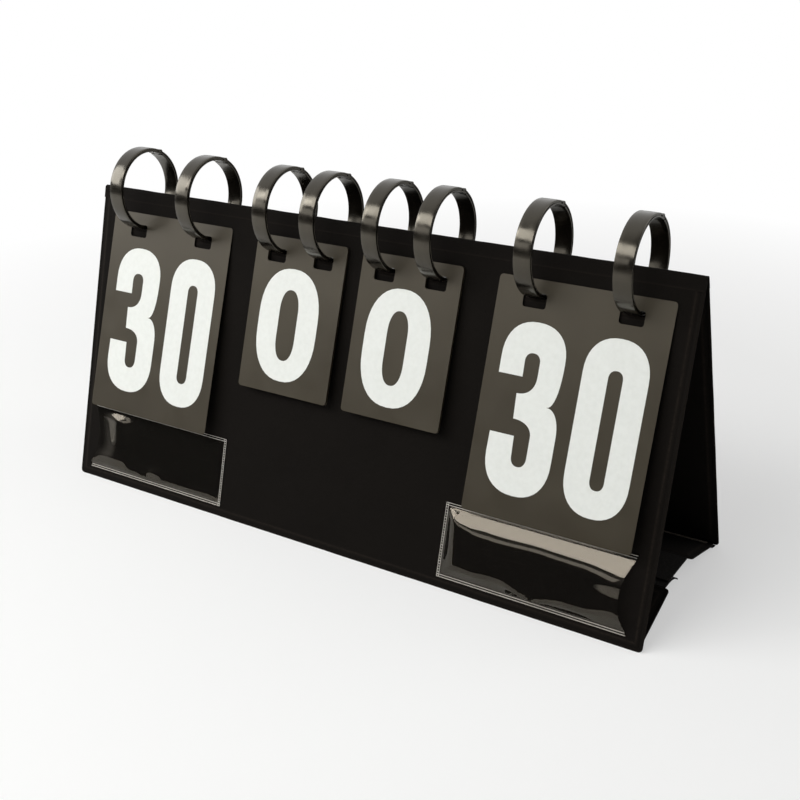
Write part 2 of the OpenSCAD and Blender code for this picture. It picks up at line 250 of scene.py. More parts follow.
@dataclass(frozen=True)
class CoatedWovenPolyester(Finish):
    """Woven polyester cloth with a matt coating on its back, as on bags and folders.

    The threads break up the light, so the black looks soft and a little brown. Pressed
    edges are painted paler, partly for rubbing of the coating and partly as a painted
    highlight along the ridge over the board's edge.
    """

    thread: float = 1.1  # real threads lie 0.5 mm apart, drawn twice as coarse so that they show
    pale: str = "#15120f"
    # colour of the pale marks: rubbing of the coating, and a painted highlight along the ridge over the
    # board's edge
    worn: str = "#2c2621"

    def make(self) -> bpy.types.Material:
        """Builds the weave, its slubs and the pale marks of rubbing and painted highlight.

        Returns:
            The material.
        """
        made, tree, shader = self.start()
        flat = add_node(tree, "ShaderNodeUVMap")
        axes = add_node(tree, "ShaderNodeSeparateXYZ", {0: flat}).outputs
        turn = math.tau / (self.thread * MM)
        loose = add_node(tree, NOISE, {"Vector": flat, "Scale": 1 / (9.0 * MM), "Detail": 3.0})
        wobble = add_node(tree, MATH, {0: loose, 1: 2.4}, operation="MULTIPLY")
        threads = []
        for axis in (axes[0], axes[1]):
            phase = add_node(tree, MATH, {0: axis, 1: turn, 2: wobble}, operation="MULTIPLY_ADD")
            threads.append(add_node(tree, MATH, {0: phase}, operation="SINE"))
        crossed = add_node(tree, MATH, {0: threads[0], 1: threads[1]}, operation="MULTIPLY")
        weave = add_node(tree, MATH, {0: crossed, 1: 0.5, 2: 0.5}, operation="MULTIPLY_ADD")
        slub = add_node(tree, NOISE, {"Vector": flat, "Scale": 1 / (1.6 * MM), "Detail": 3.0})
        patchy = add_node(tree, NOISE, {"Vector": flat, "Scale": 1 / (34.0 * MM), "Detail": 3.0})
        cloud = add_node(tree, SPAN, {"Value": patchy, "From Min": 0.3, "From Max": 0.7, "To Max": 0.35})
        # Pale marks: rubbing of the coating, and a painted highlight along the ridge over the board's edge.
        rubbed_and_sheen = add_node(tree, "ShaderNodeAttribute", attribute_name="wear").outputs["Fac"]
        high_spots = add_node(tree, SPAN, {"Value": slub, "From Min": 0.3, "From Max": 0.65, "To Min": 0.25})
        worn = add_node(tree, MATH, {0: rubbed_and_sheen, 1: high_spots}, operation="MULTIPLY")
        raised = add_node(tree, MATH, {0: weave, 1: 0.75}, operation="MULTIPLY")
        lit = {0: raised, 6: linear(self.base), 7: linear(self.pale)}
        thread = add_node(tree, MIX, lit, data_type="RGBA")
        tone = add_node(tree, MIX, {0: cloud, 6: thread.outputs[2], 7: linear(self.pale)}, data_type="RGBA")
        aged_and_sheen = add_node(tree, MIX, {0: worn, 6: tone.outputs[2], 7: linear(self.worn)}, data_type="RGBA")
        tree.links.new(aged_and_sheen.outputs[2], shader.inputs["Base Color"])
        uneven = {"Value": slub, "From Min": 0.2, "From Max": 0.8}
        gloss = {"To Min": self.rough - 0.06, "To Max": self.rough + 0.08}
        add_node(tree, SPAN, uneven | gloss, shader.inputs["Roughness"])
        shader.inputs["Sheen Weight"].default_value = 0.015
        shader.inputs["Sheen Roughness"].default_value = 0.6
        lumps = add_node(tree, MATH, {0: slub, 1: 0.5}, operation="MULTIPLY")
        height = add_node(tree, MATH, {0: weave, 1: 0.7, 2: lumps}, operation="MULTIPLY_ADD")
        relief = {"Height": height, "Distance": 0.12 * MM, "Strength": 0.45}
        add_node(tree, BUMP, relief, shader.inputs["Normal"])
        return made


@dataclass(frozen=True)
class CalenderedVinyl(Finish):
    """Rigid vinyl sheet rolled between matt steel rollers, for the cards.

    The fine matt roll spreads a highlight into a broad soft veil, so the black looks grey
    towards the light.
    """

    pale: str = "#332e24"

    def make(self) -> bpy.types.Material:
        """Builds the matt roll with the gloss that handling leaves.

        Returns:
            The material.
        """
        made, tree, shader = self.start()
        where = add_node(tree, "ShaderNodeTexCoord").outputs["Object"]
        roll = add_node(tree, NOISE, {"Vector": where, "Scale": 1 / (0.9 * MM), "Detail": 3.0})
        patchy = add_node(tree, NOISE, {"Vector": where, "Scale": 1 / (45.0 * MM), "Detail": 2.0})
        cloud = add_node(tree, SPAN, {"Value": patchy, "From Min": 0.3, "From Max": 0.7})
        tone = add_node(tree, MIX, {0: cloud, 6: linear(self.base), 7: linear(self.pale)}, data_type="RGBA")
        tree.links.new(tone.outputs[2], shader.inputs["Base Color"])
        touched = add_node(tree, NOISE, {"Vector": where, "Scale": 1 / (16.0 * MM), "Detail": 4.0})
        uneven = {"Value": touched, "From Min": 0.35, "From Max": 0.75}
        gloss = {"To Min": self.rough - 0.03, "To Max": self.rough + 0.07}
        add_node(tree, SPAN, uneven | gloss, shader.inputs["Roughness"])
        relief = {"Height": roll, "Distance": 0.02 * MM, "Strength": 0.25}
        add_node(tree, BUMP, relief, shader.inputs["Normal"])
        return made


@dataclass(frozen=True)
class ScreenInk(Finish):
    """White screen ink laid through a mesh on the cards.

    The mesh leaves a faint mottle, so the white isn't quite even and doesn't shine.
    """

    shade: str = "#d4d6d0"

    def make(self) -> bpy.types.Material:
        """Builds the mottle and the mesh marks.

        Returns:
            The material.
        """
        made, tree, shader = self.start()
        where = add_node(tree, "ShaderNodeTexCoord").outputs["Object"]
        thin = add_node(tree, NOISE, {"Vector": where, "Scale": 1 / (3.0 * MM), "Detail": 3.0})
        mottle = add_node(tree, SPAN, {"Value": thin, "From Min": 0.35, "From Max": 0.8, "To Max": 0.5})
        tone = add_node(tree, MIX, {0: mottle, 6: linear(self.base), 7: linear(self.shade)}, data_type="RGBA")
        tree.links.new(tone.outputs[2], shader.inputs["Base Color"])
        mesh = add_node(tree, NOISE, {"Vector": where, "Scale": 1 / (0.7 * MM), "Detail": 1.0})
        relief = {"Height": mesh, "Distance": 0.01 * MM, "Strength": 0.3}
        add_node(tree, BUMP, relief, shader.inputs["Normal"])
        return made


@dataclass(frozen=True)
class MouldedPlastic(Finish):
    """Injection moulded polypropylene of the rings, from a mould that was draw polished.

    The draw lines run across the band, so a lamp's image stays bright but breaks into soft
    streaks, and the flow of the melt clouds it a little.
    """

    pale: str = "#14110d"

    def make(self) -> bpy.types.Material:
        """Builds the draw lines and the flow clouds.

        Returns:
            The material.
        """
        made, tree, shader = self.start()
        where = add_node(tree, "ShaderNodeTexCoord").outputs["Object"]
        flow = add_node(tree, NOISE, {"Vector": where, "Scale": 1 / (7.0 * MM), "Detail": 4.0})
        tone = add_node(tree, MIX, {0: flow, 6: linear(self.base), 7: linear(self.pale)}, data_type="RGBA")
        tree.links.new(tone.outputs[2], shader.inputs["Base Color"])
        uneven = {"Value": flow, "From Min": 0.3, "From Max": 0.75}
        gloss = {"To Min": self.rough - 0.04, "To Max": self.rough + 0.1}
        add_node(tree, SPAN, uneven | gloss, shader.inputs["Roughness"])
        flat = add_node(tree, "ShaderNodeUVMap")
        drawn = add_node(tree, "ShaderNodeMapping", {0: flat, "Scale": (0.06, 1.0, 1.0)})
        lines = add_node(tree, NOISE, {"Vector": drawn, "Scale": 1 / (0.9 * MM), "Detail": 2.0})
        waves = add_node(tree, MATH, {0: flow, 1: 0.6}, operation="MULTIPLY")
        height = add_node(tree, MATH, {0: lines, 1: 0.4, 2: waves}, operation="MULTIPLY_ADD")
        relief = {"Height": height, "Distance": 0.05 * MM, "Strength": 0.3}
        add_node(tree, BUMP, relief, shader.inputs["Normal"])
        return made


@dataclass(frozen=True)
class ClearVinyl(Finish):
    """Clear soft vinyl sheet, pressed between polished plates, for the pockets.

    The cloth behind it shows through a little darker, and its folds mirror the lamps and the
    floor in sharp pale streaks.
    """

    veil: float = 0.5  # share of the light that the sheet holds back

    def make(self) -> bpy.types.Material:
        """Builds the see-through sheet with its haze and its soft dimples.

        Returns:
            The material.
        """
        made, tree, shader = self.start()
        flat = add_node(tree, "ShaderNodeUVMap")
        handled = add_node(tree, NOISE, {"Vector": flat, "Scale": 1 / (9.0 * MM), "Detail": 3.0})
        uneven = {"Value": handled, "From Min": 0.45, "From Max": 0.8}
        gloss = {"To Min": self.rough, "To Max": self.rough + 0.04}
        add_node(tree, SPAN, uneven | gloss, shader.inputs["Roughness"])
        inside = add_node(tree, "ShaderNodeNewGeometry").outputs["Backfacing"]
        add_node(tree, SPAN, {"Value": inside, "To Min": self.veil, "To Max": 0.0}, shader.inputs["Alpha"])
        dimple = add_node(tree, NOISE, {"Vector": flat, "Scale": 1 / (18.0 * MM), "Detail": 1.0})
        relief = {"Height": dimple, "Distance": 0.08 * MM, "Strength": 0.2}
        add_node(tree, BUMP, relief, shader.inputs["Normal"])
        return made


@dataclass(frozen=True)
class WeldedVinyl(Finish):
    """Clear vinyl that a hot tool pressed into the cloth. Its near-white colour is a painted highlight on the
    raised weld lines.
    """

    # greyer second colour of the painted highlight
    milky: str = "#a9a59d"

    def make(self) -> bpy.types.Material:
        """Builds the pressing's relief and the painted highlight, uneven with it.

        Returns:
            The material.
        """
        made, tree, shader = self.start()
        flat = add_node(tree, "ShaderNodeUVMap")
        uneven = add_node(tree, NOISE, {"Vector": flat, "Scale": 1 / (2.2 * MM), "Detail": 3.0})
        pressed = add_node(tree, SPAN, {"Value": uneven, "From Min": 0.35, "From Max": 0.7})
        # painted highlight on the weld lines, uneven with the pressing
        highlight_mix = {0: pressed, 6: linear(self.base), 7: linear(self.milky)}
        tone = add_node(tree, MIX, highlight_mix, data_type="RGBA")
        tree.links.new(tone.outputs[2], shader.inputs["Base Color"])
        relief = {"Height": pressed, "Distance": 0.06 * MM, "Strength": 0.4}
        add_node(tree, BUMP, relief, shader.inputs["Normal"])
        return made


@dataclass(frozen=True)
class NylonTape(Finish):
    """Nylon tape of a touch fastener. Rows of hooks or a raised nap make it dull and rough."""

    pitch: float = 1.5  # real hooks stand 1.5 mm apart
    nap: float = 0.0
    pale: str = "#24211e"

    def make(self) -> bpy.types.Material:
        """Builds the rows of hooks, or the nap.

        Returns:
            The material.
        """
        made, tree, shader = self.start()
        flat = add_node(tree, "ShaderNodeUVMap")
        rows = {"Vector": flat, "Scale": 1 / (self.pitch * MM), "Randomness": 0.25 + self.nap * 0.7}
        away = add_node(tree, "ShaderNodeTexVoronoi", rows).outputs["Distance"]
        tip = add_node(tree, SPAN, {"Value": away, "From Max": 0.6, "To Min": 1.0, "To Max": 0.0})
        fuzz = add_node(tree, NOISE, {"Vector": flat, "Scale": 1 / (0.8 * MM), "Detail": 5.0})
        lit = add_node(tree, MATH, {0: tip, 1: fuzz}, operation="MULTIPLY")
        tone = add_node(tree, MIX, {0: lit, 6: linear(self.base), 7: linear(self.pale)}, data_type="RGBA")
        tree.links.new(tone.outputs[2], shader.inputs["Base Color"])
        shader.inputs["Sheen Weight"].default_value = self.nap * 0.04
        height = add_node(tree, MATH, {0: tip, 1: 1.0 - self.nap, 2: fuzz}, operation="MULTIPLY_ADD")
        relief = {"Height": height, "Distance": 0.5 * MM, "Strength": 0.7}
        add_node(tree, BUMP, relief, shader.inputs["Normal"])
        return made


@dataclass(frozen=True)
class GreyBoard(Finish):
    """Pressed grey board inside the covers. Its paper fibres give a speckled dull face."""

    fibre: str = "#9a9184"

    def make(self) -> bpy.types.Material:
        """Builds the specks of fibre.

        Returns:
            The material.
        """
        made, tree, shader = self.start()
        where = add_node(tree, "ShaderNodeTexCoord").outputs["Object"]
        fibres = add_node(tree, NOISE, {"Vector": where, "Scale": 1 / (1.4 * MM), "Detail": 5.0})
        speck = add_node(tree, SPAN, {"Value": fibres, "From Min": 0.45, "From Max": 0.7})
        tone = add_node(tree, MIX, {0: speck, 6: linear(self.base), 7: linear(self.fibre)}, data_type="RGBA")
        tree.links.new(tone.outputs[2], shader.inputs["Base Color"])
        relief = {"Height": speck, "Distance": 0.05 * MM, "Strength": 0.4}
        add_node(tree, BUMP, relief, shader.inputs["Normal"])
        return made


@dataclass(frozen=True)
class PaperSweep(Finish):
    """White paper sweep that the object stands on.

    It keeps the object's shadow, and where the camera sees it far from the object it turns
    as white as the backdrop.
    """

    keep: float = 0.38  # radius of the paper that shows shadow, in metres
    glow: float = 0.45  # share of the backdrop's white in that part

    def make(self) -> bpy.types.Material:
        """Builds the paper and its white far part.

        Returns:
            The material.
        """
        made, tree, shader = self.start()
        where = add_node(tree, "ShaderNodeTexCoord").outputs["Object"]
        away = add_node(tree, "ShaderNodeVectorMath", {0: where}, operation="LENGTH").outputs["Value"]
        reach = {"From Min": self.keep, "From Max": self.keep * 2.0, "To Min": self.glow}
        far = add_node(tree, SPAN, {"Value": away, **reach})
        seen = add_node(tree, "ShaderNodeLightPath").outputs["Is Camera Ray"]
        share = add_node(tree, MATH, {0: far, 1: seen}, operation="MULTIPLY")
        white = add_node(tree, "ShaderNodeEmission", {"Color": (1, 1, 1, 1), "Strength": 1.0})
        both = add_node(tree, "ShaderNodeMixShader", {0: share, 1: shader, 2: white})
        tree.links.new(both.outputs[0], tree.nodes["Material Output"].inputs[0])
        fibre = add_node(tree, NOISE, {"Vector": where, "Scale": 1 / (0.6 * MM), "Detail": 3.0})
        relief = {"Height": fibre, "Distance": 0.02 * MM, "Strength": 0.1}
        add_node(tree, BUMP, relief, shader.inputs["Normal"])
        return made


class Finishes:
    """The finishes of this scoreboard, made once."""

    def __init__(self) -> None:
        """Makes each material."""
        self.cloth = CoatedWovenPolyester("black_coated_woven_polyester", "#0c0a08", 0.7, 0.03).make()
        self.card = CalenderedVinyl(
            "matt_calendered_vinyl_card", "#2c271e", 0.37, 0.48, tint="#fff6e4"
        ).make()
        self.ink = ScreenInk("white_screen_ink", "#e0e2dd", 0.55, 0.2).make()
        self.ring = MouldedPlastic(
            "draw_polished_moulded_polypropylene", "#0b0907", 0.17, 0.78, 1.49, "#fff5e0"
        ).make()
        self.clear = ClearVinyl("clear_soft_vinyl_sheet", "#0d0c0a", 0.03, 1.0, 1.62, "#fff2dd").make()
        # The weld lines' near-white colours are a painted highlight on their raised ridges.
        self.weld = WeldedVinyl("milky_welded_vinyl", "#d6d2ca", 0.35).make()
        self.hook = NylonTape("nylon_hook_tape", "#11100e", 0.8, 0.15).make()
        self.loop = NylonTape("nylon_loop_tape", "#141210", 0.85, 0.1, nap=0.8).make()
        self.board = GreyBoard("pressed_grey_board", "#7d7569", 0.85, 0.3).make()
        self.paper = PaperSweep("white_paper_sweep", "#f7f7f5", 0.9, 0.1).make()


# Mesh helpers


class Shape:
    """Gathers the points and faces of one piece."""

    def __init__(self, name: str) -> None:
        """Starts an empty piece.

        Args:
            name: name of the piece in the scene.
        """
        self.name = name
        self.points: list[Point] = []
        self.flat: list[Pair] = []
        # how pale each point is painted, for rubbing and for a painted highlight
        self.wear: list[float] = []
        self.faces: list[tuple[int, ...]] = []

    def add(self, point: Point, flat: Pair = (0.0, 0.0), wear: float = 0.0) -> int:
        """Adds a point.

        Args:
            point: its place in millimetres.
            flat: its place on the unrolled surface.
            wear: how pale it is painted, from 0 to 1, for rubbing and for a painted highlight.

        Returns:
            The point's number.
        """
        self.points.append(point)
        self.flat.append(flat)
        self.wear.append(wear)
        return len(self.points) - 1

    def face(self, *numbers: int) -> None:
        """Adds a face through numbered points."""
        self.faces.append(numbers)

    def skin(self, rows: Sequence[Sequence[int]], closed: bool = False, looped: bool = False) -> None:
        """Joins rows of points with four-sided faces.

        Args:
            rows: rows of point numbers, all as long.
            closed: joins the end of each row to its start.
            looped: joins the last row to the first.
        """
        last = len(rows) if looped else len(rows) - 1
        for i in range(last):
            near, far = rows[i], rows[(i + 1) % len(rows)]
            for j in range(len(near) if closed else len(near) - 1):
                k = (j + 1) % len(near)
                self.face(near[j], near[k], far[k], far[j])

    def fill(self, *loops: Sequence[int]) -> None:
        """Fills a flat outline, less its holes, with triangles.

        Args:
            loops: point numbers of the outline, and then of each hole.
        """
        numbers = [n for loop in loops for n in loop]
        for tri in tessellate_polygon([[Vector(self.points[n]) for n in loop] for loop in loops]):
            self.face(*(numbers[k] for k in tri))

    def slab(self, outlines: Sequence[Sequence[Pair]], heights: Pair, spot: Callable[..., Point]) -> None:
        """Adds a flat closed layer with holes.

        Args:
            outlines: points of the outline, and then of each hole.
            heights: heights of its lower and its upper face.
            spot: gives a point's place from its outline's number, its x, its y and its height.
        """
        layers = []
        for z in heights:
            loops = [
                [self.add(spot(n, x, y, z), (x, y)) for x, y in outline]
                for n, outline in enumerate(outlines)
            ]
            self.fill(*loops)
            layers.append(loops)
        for below, above in zip(*layers):
            self.skin([below, above], closed=True)

    def make(self, finish: bpy.types.Material, crease: float = 32.0) -> bpy.types.Object:
        """Makes the object.

        Args:
            finish: its material.
            crease: edges sharper than this angle in degrees stay sharp.

        Returns:
            The object, linked to the scene.
        """
        mesh = bpy.data.meshes.new(self.name)
        mesh.from_pydata([tuple(c * MM for c in p) for p in self.points], [], self.faces)
        mesh.materials.append(finish)
        sheet = mesh.uv_layers.new(name="flat")
        corners = [0.0] * (2 * len(mesh.loops))
        for loop in mesh.loops:
            corners[2 * loop.index] = self.flat[loop.vertex_index][0] * MM
            corners[2 * loop.index + 1] = self.flat[loop.vertex_index][1] * MM
        sheet.data.foreach_set("uv", corners)
        # Stores the pale marks of rubbing and painted highlight for the cloth's colour.
        if any(self.wear):
            rubbed_and_sheen = mesh.attributes.new("wear", "FLOAT", "POINT")
            rubbed_and_sheen.data.foreach_set("value", self.wear)
        work = bmesh.new()
        work.from_mesh(mesh)
        bmesh.ops.recalc_face_normals(work, faces=work.faces)
        work.to_mesh(mesh)
        work.free()
        mesh.shade_smooth()
        mesh.set_sharp_from_angle(angle=math.radians(crease))
        piece = bpy.data.objects.new(self.name, mesh)
        bpy.context.collection.objects.link(piece)
        return piece


def steps(low: float, high: float, step: float, marks: Iterable[float] = ()) -> list[float]:
    """Positions from low to high that include the marks and are no further apart than step.

    Args:
        low: first position.
        high: last position.
        step: largest distance between two positions.
        marks: positions that have to be there.

    Returns:
        The positions in rising order.
    """
    fixed = sorted({round(m, 4) for m in marks if low < m < high} | {round(low, 4), round(high, 4)})
    found = [fixed[0]]
    for a, b in zip(fixed, fixed[1:]):
        count = max(1, math.ceil((b - a) / step - 1e-6))
        found.extend(a + (b - a) * k / count for k in range(1, count + 1))
    return found


def track(value: float, table: Sequence[Pair]) -> float:
    """Reads a table of pairs, straight between its rows and held at its ends.

    Args:
        value: where the table is read.
        table: rows of a value and what it stands for, in rising order.

    Returns:
        What the value stands for.
    """
    if value <= table[0][0]:
        return table[0][1]
    for (a, p), (b, q) in zip(table, table[1:]):
        if value <= b:
            return p + (q - p) * (value - a) / (b - a)
    return table[-1][1]


def ripple(x: float, y: float, size: float, seed: float) -> float:
    """Smooth noise from -1 to 1 whose waves are about size long."""
    return noise.noise(Vector((x / size, y / size, seed * 7.31)))


def ease(value: float) -> float:
    """Smooth step from 0 to 1, held outside."""
    t = min(1.0, max(0.0, value))
    return t * t * (3 - 2 * t)


# Covers and cloth


@dataclass
class WeldedCover:
    """Two sheets of cloth welded together round a stiff board."""

    name: str
    node: str
    body: str
    place: Place
    length: float
    start: float
    end: float
    seed: float
    thick: float = 1.8
    corner: float = 3.0
    step: float = 3.2
    slots: tuple[float, ...] = ()
    free_start: bool = False
    rim: tuple[Pair, ...] = (
        (0.0, 0.16), (0.3, 0.43), (0.7, 0.5), (1.5, 0.5), (1.9, 0.36), (2.4, 0.36), (2.8, 0.5),
        (3.9, 0.5), (4.6, 0.68), (5.6, 0.87), (6.6, 0.9),
    )  # fmt: skip
    hem: tuple[Pair, ...] = ((0.0, 0.62), (0.35, 0.84), (0.8, 0.9))
    slot_rim: tuple[Pair, ...] = ((0.0, 0.34), (0.3, 0.52), (1.7, 0.56), (2.9, 0.86), (3.6, 0.9))
    patch: Pair = (10.0, 6.0)
    # Height and length of the cloth's waves
    slack: Pair = (0.13, 70.0)
    crinkle: Pair = (0.06, 22.0)
    pucker: Pair = (0.11, 8.0)
    # Place, width and strength of the pale line over the board's edge, partly rubbing and partly a painted
    # highlight
    rub: Point = (4.6, 0.7, 0.55)
    # Width, depth and length of the waves of the cut edge
    trim: Point = (1.2, 0.22, 17.0)

    def edge(self, x: float, v: float) -> float:
        """Distance to the nearest welded edge.

        Args:
            x: place along the board.
            v: place down the board.

        Returns:
            The distance in millimetres.
        """
        ends = [self.length / 2 - abs(x), self.end - v]
        if self.free_start:
            ends.append(v - self.start)
        return min(ends)

    def half(self, x: float, v: float) -> float:
        """Half of the thickness at a point of the cover.

        Args:
            x: place along the board.
            v: place down the board.

        Returns:
            The half thickness in millimetres.
        """
        height = track(self.edge(x, v), self.rim)
        if not self.free_start:
            height = min(height, track(v - self.start, self.hem))
        return height

    def sag(self, x: float, v: float, calm: float) -> float:
        """How far the cloth lies off its even height: slack over the board and puckers at the weld.

        Args:
            x: place along the board.
            v: place down the board.
            calm: 0 where the cloth is held flat, or else 1.

        Returns:
            The height in millimetres.
        """
        edge = self.edge(x, v)
        (a, long), (b, mid), (c, short) = self.slack, self.crinkle, self.pucker
        loose = a * ripple(x, v, long, self.seed) + b * ripple(x, v * 1.4, mid, self.seed + 1)
        pucker = c * ripple(x, v, short, self.seed + 2) * math.exp(-(((edge - 6.5) / 4.5) ** 2))
        return min(0.07, loose - 0.05 + pucker) * ease((edge - 4.5) / 3) * calm

    def cornered(self, x: float, v: float) -> Pair:
        """Rounds the corners of the outline.

        Args:
            x: place along the board.
            v: place down the board.

        Returns:
            The place moved inward.
        """
        r = self.corner
        dx, dv = abs(x) - (self.length / 2 - r), v - (self.end - r)
        low = self.free_start and (self.start + r) - v > 0
        if low:
            dv = self.start + r - v
        if dx <= 0 or dv <= 0:
            return x, v
        a, b = dx * math.sqrt(1 - (dv / r) ** 2 / 2), dv * math.sqrt(1 - (dx / r) ** 2 / 2)
        v = self.start + r - b if low else self.end - r + b
        return math.copysign(self.length / 2 - r + a, x), v

    def wander(self, x: float, v: float) -> Pair:
        """Lets the cut edge of the rim wander inward a little, as hand trimming leaves it.

        Args:
            x: place along the board.
            v: place down the board.

        Returns:
            The place moved inward.
        """
        edge = self.edge(x, v)
        width, depth, wave = self.trim
        if edge > width:
            return x, v
        cut = depth * (0.5 + 0.5 * ripple(x, v, wave, self.seed + 4)) * (1 - edge / width)
        if self.length / 2 - abs(x) <= self.end - v:
            return x - math.copysign(cut, x), v
        return x, v - cut

    def put(self, shape: Shape, x: float, v: float, top: bool, half: float, calm: float = 1.0) -> int:
        """Adds a point of the upper or lower face.

        Args:
            shape: piece in the making.
            x: place along the board.
            v: place down the board.
            top: the point lies on the upper face.
            half: half of the thickness there.
            calm: 0 where the cloth is held flat, or else 1.

        Returns:
            The point's number.
        """
        edge = self.edge(x, v)
        at, width, much = self.rub
        # Pale along the board's edge, partly rubbing and partly a painted highlight, and paler at the cut
        # edge.
        wear = math.exp(-(((edge - at) / width) ** 2)) * much + math.exp(-edge / 0.5) * 0.5
        px, pv = self.cornered(*self.wander(x, v)) if edge < self.corner + 1 else (x, v)
        lift = self.sag(x, v, calm) if top else 0.5 * self.sag(x + 31, v + 57, calm)
        n = self.thick / 2 + (half + lift) * (1 if top else -1)
        return shape.add(self.place(px, pv, n), (x, v), min(1.0, wear))

    def build(self, finishes: Finishes) -> bpy.types.Object:
        """Builds the cover, with a lowered weld round each ring slot.

        Args:
            finishes: the materials.

        Returns:
            The cover.
        """
        shape = Shape(self.name)
        mid = (STAND.slot_top + STAND.slot_end) / 2
        pw, pv = self.patch
        bands, hems = ([off for off, _ in table[1:]] for table in (self.rim, self.hem))
        marks_x = [s * (self.length / 2 - b) for s in (-1, 1) for b in bands]
        marks_x += [c + pw * k / 5 for c in self.slots for k in range(-5, 6)]
        marks_v = [self.end - b for b in bands]
        marks_v += [self.start + b for b in (bands if self.free_start else hems)]
        if self.slots:
            marks_v += [mid + pv * k / 3 for k in range(-3, 4)]
        xs = steps(-self.length / 2, self.length / 2, self.step, marks_x)
        vs = steps(self.start, self.end, self.step, marks_v)

        def in_patch(x: float, v: float, reach: float) -> bool:
            """Says whether a place lies in the patch round a slot."""
            return any(abs(x - c) < pw + reach and abs(v - mid) < pv + reach for c in self.slots)

        grid: dict[tuple[int, int, bool], int] = {}
        for i, x in enumerate(xs):
            for j, v in enumerate(vs):
                if in_patch(x, v, -0.01):
                    continue
                calm = 0.0 if in_patch(x, v, 0.01) else 1.0
                for top in (True, False):
                    grid[i, j, top] = self.put(shape, x, v, top, self.half(x, v), calm)
        for i in range(len(xs) - 1):
            for j in range(len(vs) - 1):
                if in_patch((xs[i] + xs[i + 1]) / 2, (vs[j] + vs[j + 1]) / 2, 0):
                    continue
                cell = ((i, j), (i + 1, j), (i + 1, j + 1), (i, j + 1))
                for top in (True, False):
                    shape.face(*(grid[a, b, top] for a, b in cell))
        ni, nj = len(xs) - 1, len(vs) - 1
        border = [(i, 0) for i in range(ni)] + [(ni, j) for j in range(nj)]
        border += [(i, nj) for i in range(ni, 0, -1)] + [(0, j) for j in range(nj, 0, -1)]
        shape.skin([[grid[i, j, top] for i, j in border] for top in (True, False)], closed=True)
        for centre in self.slots:
            self.rim_slot(shape, grid, xs, vs, centre, mid)
        piece = shape.make(finishes.cloth)
        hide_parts(self.node)
        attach(piece, self.body)
        return piece

    def rim_slot(
        self, shape: Shape, grid: dict, xs: list[float], vs: list[float], centre: float, mid: float
    ) -> None:
        """Closes the grid round one slot with rings of points that follow its rounded outline.

        Args:
            shape: piece in the making.
            grid: numbers of the grid's points.
            xs: positions of the grid along the board.
            vs: positions of the grid down the board.
            centre: middle of the slot along the board.
            mid: middle of the slot down the board.
        """
        pw, pv = self.patch
        ia, ib = (min(range(len(xs)), key=lambda i, t=t: abs(xs[i] - t)) for t in (centre - pw, centre + pw))
        ja, jb = (min(range(len(vs)), key=lambda j, t=t: abs(vs[j] - t)) for t in (mid - pv, mid + pv))
        loop = [(i, ja) for i in range(ia, ib)] + [(ib, j) for j in range(ja, jb)]
        loop += [(i, jb) for i in range(ib, ia, -1)] + [(ia, j) for j in range(jb, ja, -1)]
        core = (STAND.slot_w / 2 - STAND.slot_r, (STAND.slot_end - STAND.slot_top) / 2 - STAND.slot_r)
        rows: dict[bool, list[list[int]]] = {}
        for top in (True, False):
            rows[top] = [[grid[i, j, top] for i, j in loop]]
            for off in (2.7, 1.8, 1.2, 0.3, 0.0):
                row = []
                for i, j in loop:
                    dx, dv = xs[i] - centre, vs[j] - mid
                    qx, qv = max(-core[0], min(core[0], dx)), max(-core[1], min(core[1], dv))
                    far = math.hypot(dx - qx, dv - qv)
                    reach = STAND.slot_r + off
                    x, v = centre + qx + (dx - qx) / far * reach, mid + qv + (dv - qv) / far * reach
                    row.append(self.put(shape, x, v, top, track(off, self.slot_rim), 0.0))
                    shape.wear[-1] = 0.5 if off < 0.4 else 0.25 if off == 1.8 else 0.0
                rows[top].append(row)
            shape.skin(rows[top], closed=True)
        shape.skin([rows[True][-1], rows[False][-1]], closed=True)


@dataclass
class ClothStrip:
    """A strip of cloth or tape that runs the length of the boards, given by its section."""

    name: str
    node: str
    body: str
    outer: list[Pair]
    inner: list[Pair]
    length: float
    seed: float
    pucker: float
    held: str
    fold: Fold
    step: float = 3.0
    end_hem: float = 0.6
    wave: float = 13.0
    worn: float = 0.35

    def build(self, finish: bpy.types.Material, slot: str) -> bpy.types.Object:
        """Builds the strip as a closed sheet.

        Args:
            finish: material of the strip.
            slot: not used.

        Returns:
            The strip.
        """
        shape = Shape(self.name)
        end, hem = self.length / 2, self.end_hem
        xs = steps(-end, end, self.step, (end - hem, hem - end))
        run = [0.0]
        for a, b in zip(self.outer, self.outer[1:]):
            run.append(run[-1] + math.dist(a, b))
        rows = []
        for x in xs:
            row = []
            for line, sign in ((self.outer, 1), (self.inner, -1)):
                order = range(len(line)) if sign > 0 else range(len(line) - 1, -1, -1)
                for k in order:
                    y, z = line[k]
                    share = run[k] / run[-1]
                    other = self.inner[k] if sign > 0 else self.outer[k]
                    nx, nz = y - other[0], z - other[1]
                    size = math.hypot(nx, nz) or 1.0
                    wave = ripple(x, run[k], self.wave, self.seed) - 0.4
                    lift = self.pucker * wave * math.sin(math.pi * share) * sign
                    spot = (x, y + nx / size * lift, z + nz / size * lift)
                    row.append(shape.add(spot, (x, run[k]), self.worn * (share in (0.0, 1.0))))
            rows.append(row)
        shape.skin(rows, closed=True)
        shape.fill(rows[0])
        shape.fill(rows[-1])
        piece = shape.make(finish, 50)
        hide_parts(self.node)
        if self.fold is not Fold.BENDS:
            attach(piece, self.body)
        return piece

    @property
    def flat(self) -> Pair:
        """Width and length of the strip before it was laid, in metres."""
        width = sum(math.dist(a, b) for a, b in zip(self.outer, self.outer[1:]))
        return (width * MM, self.length * MM)


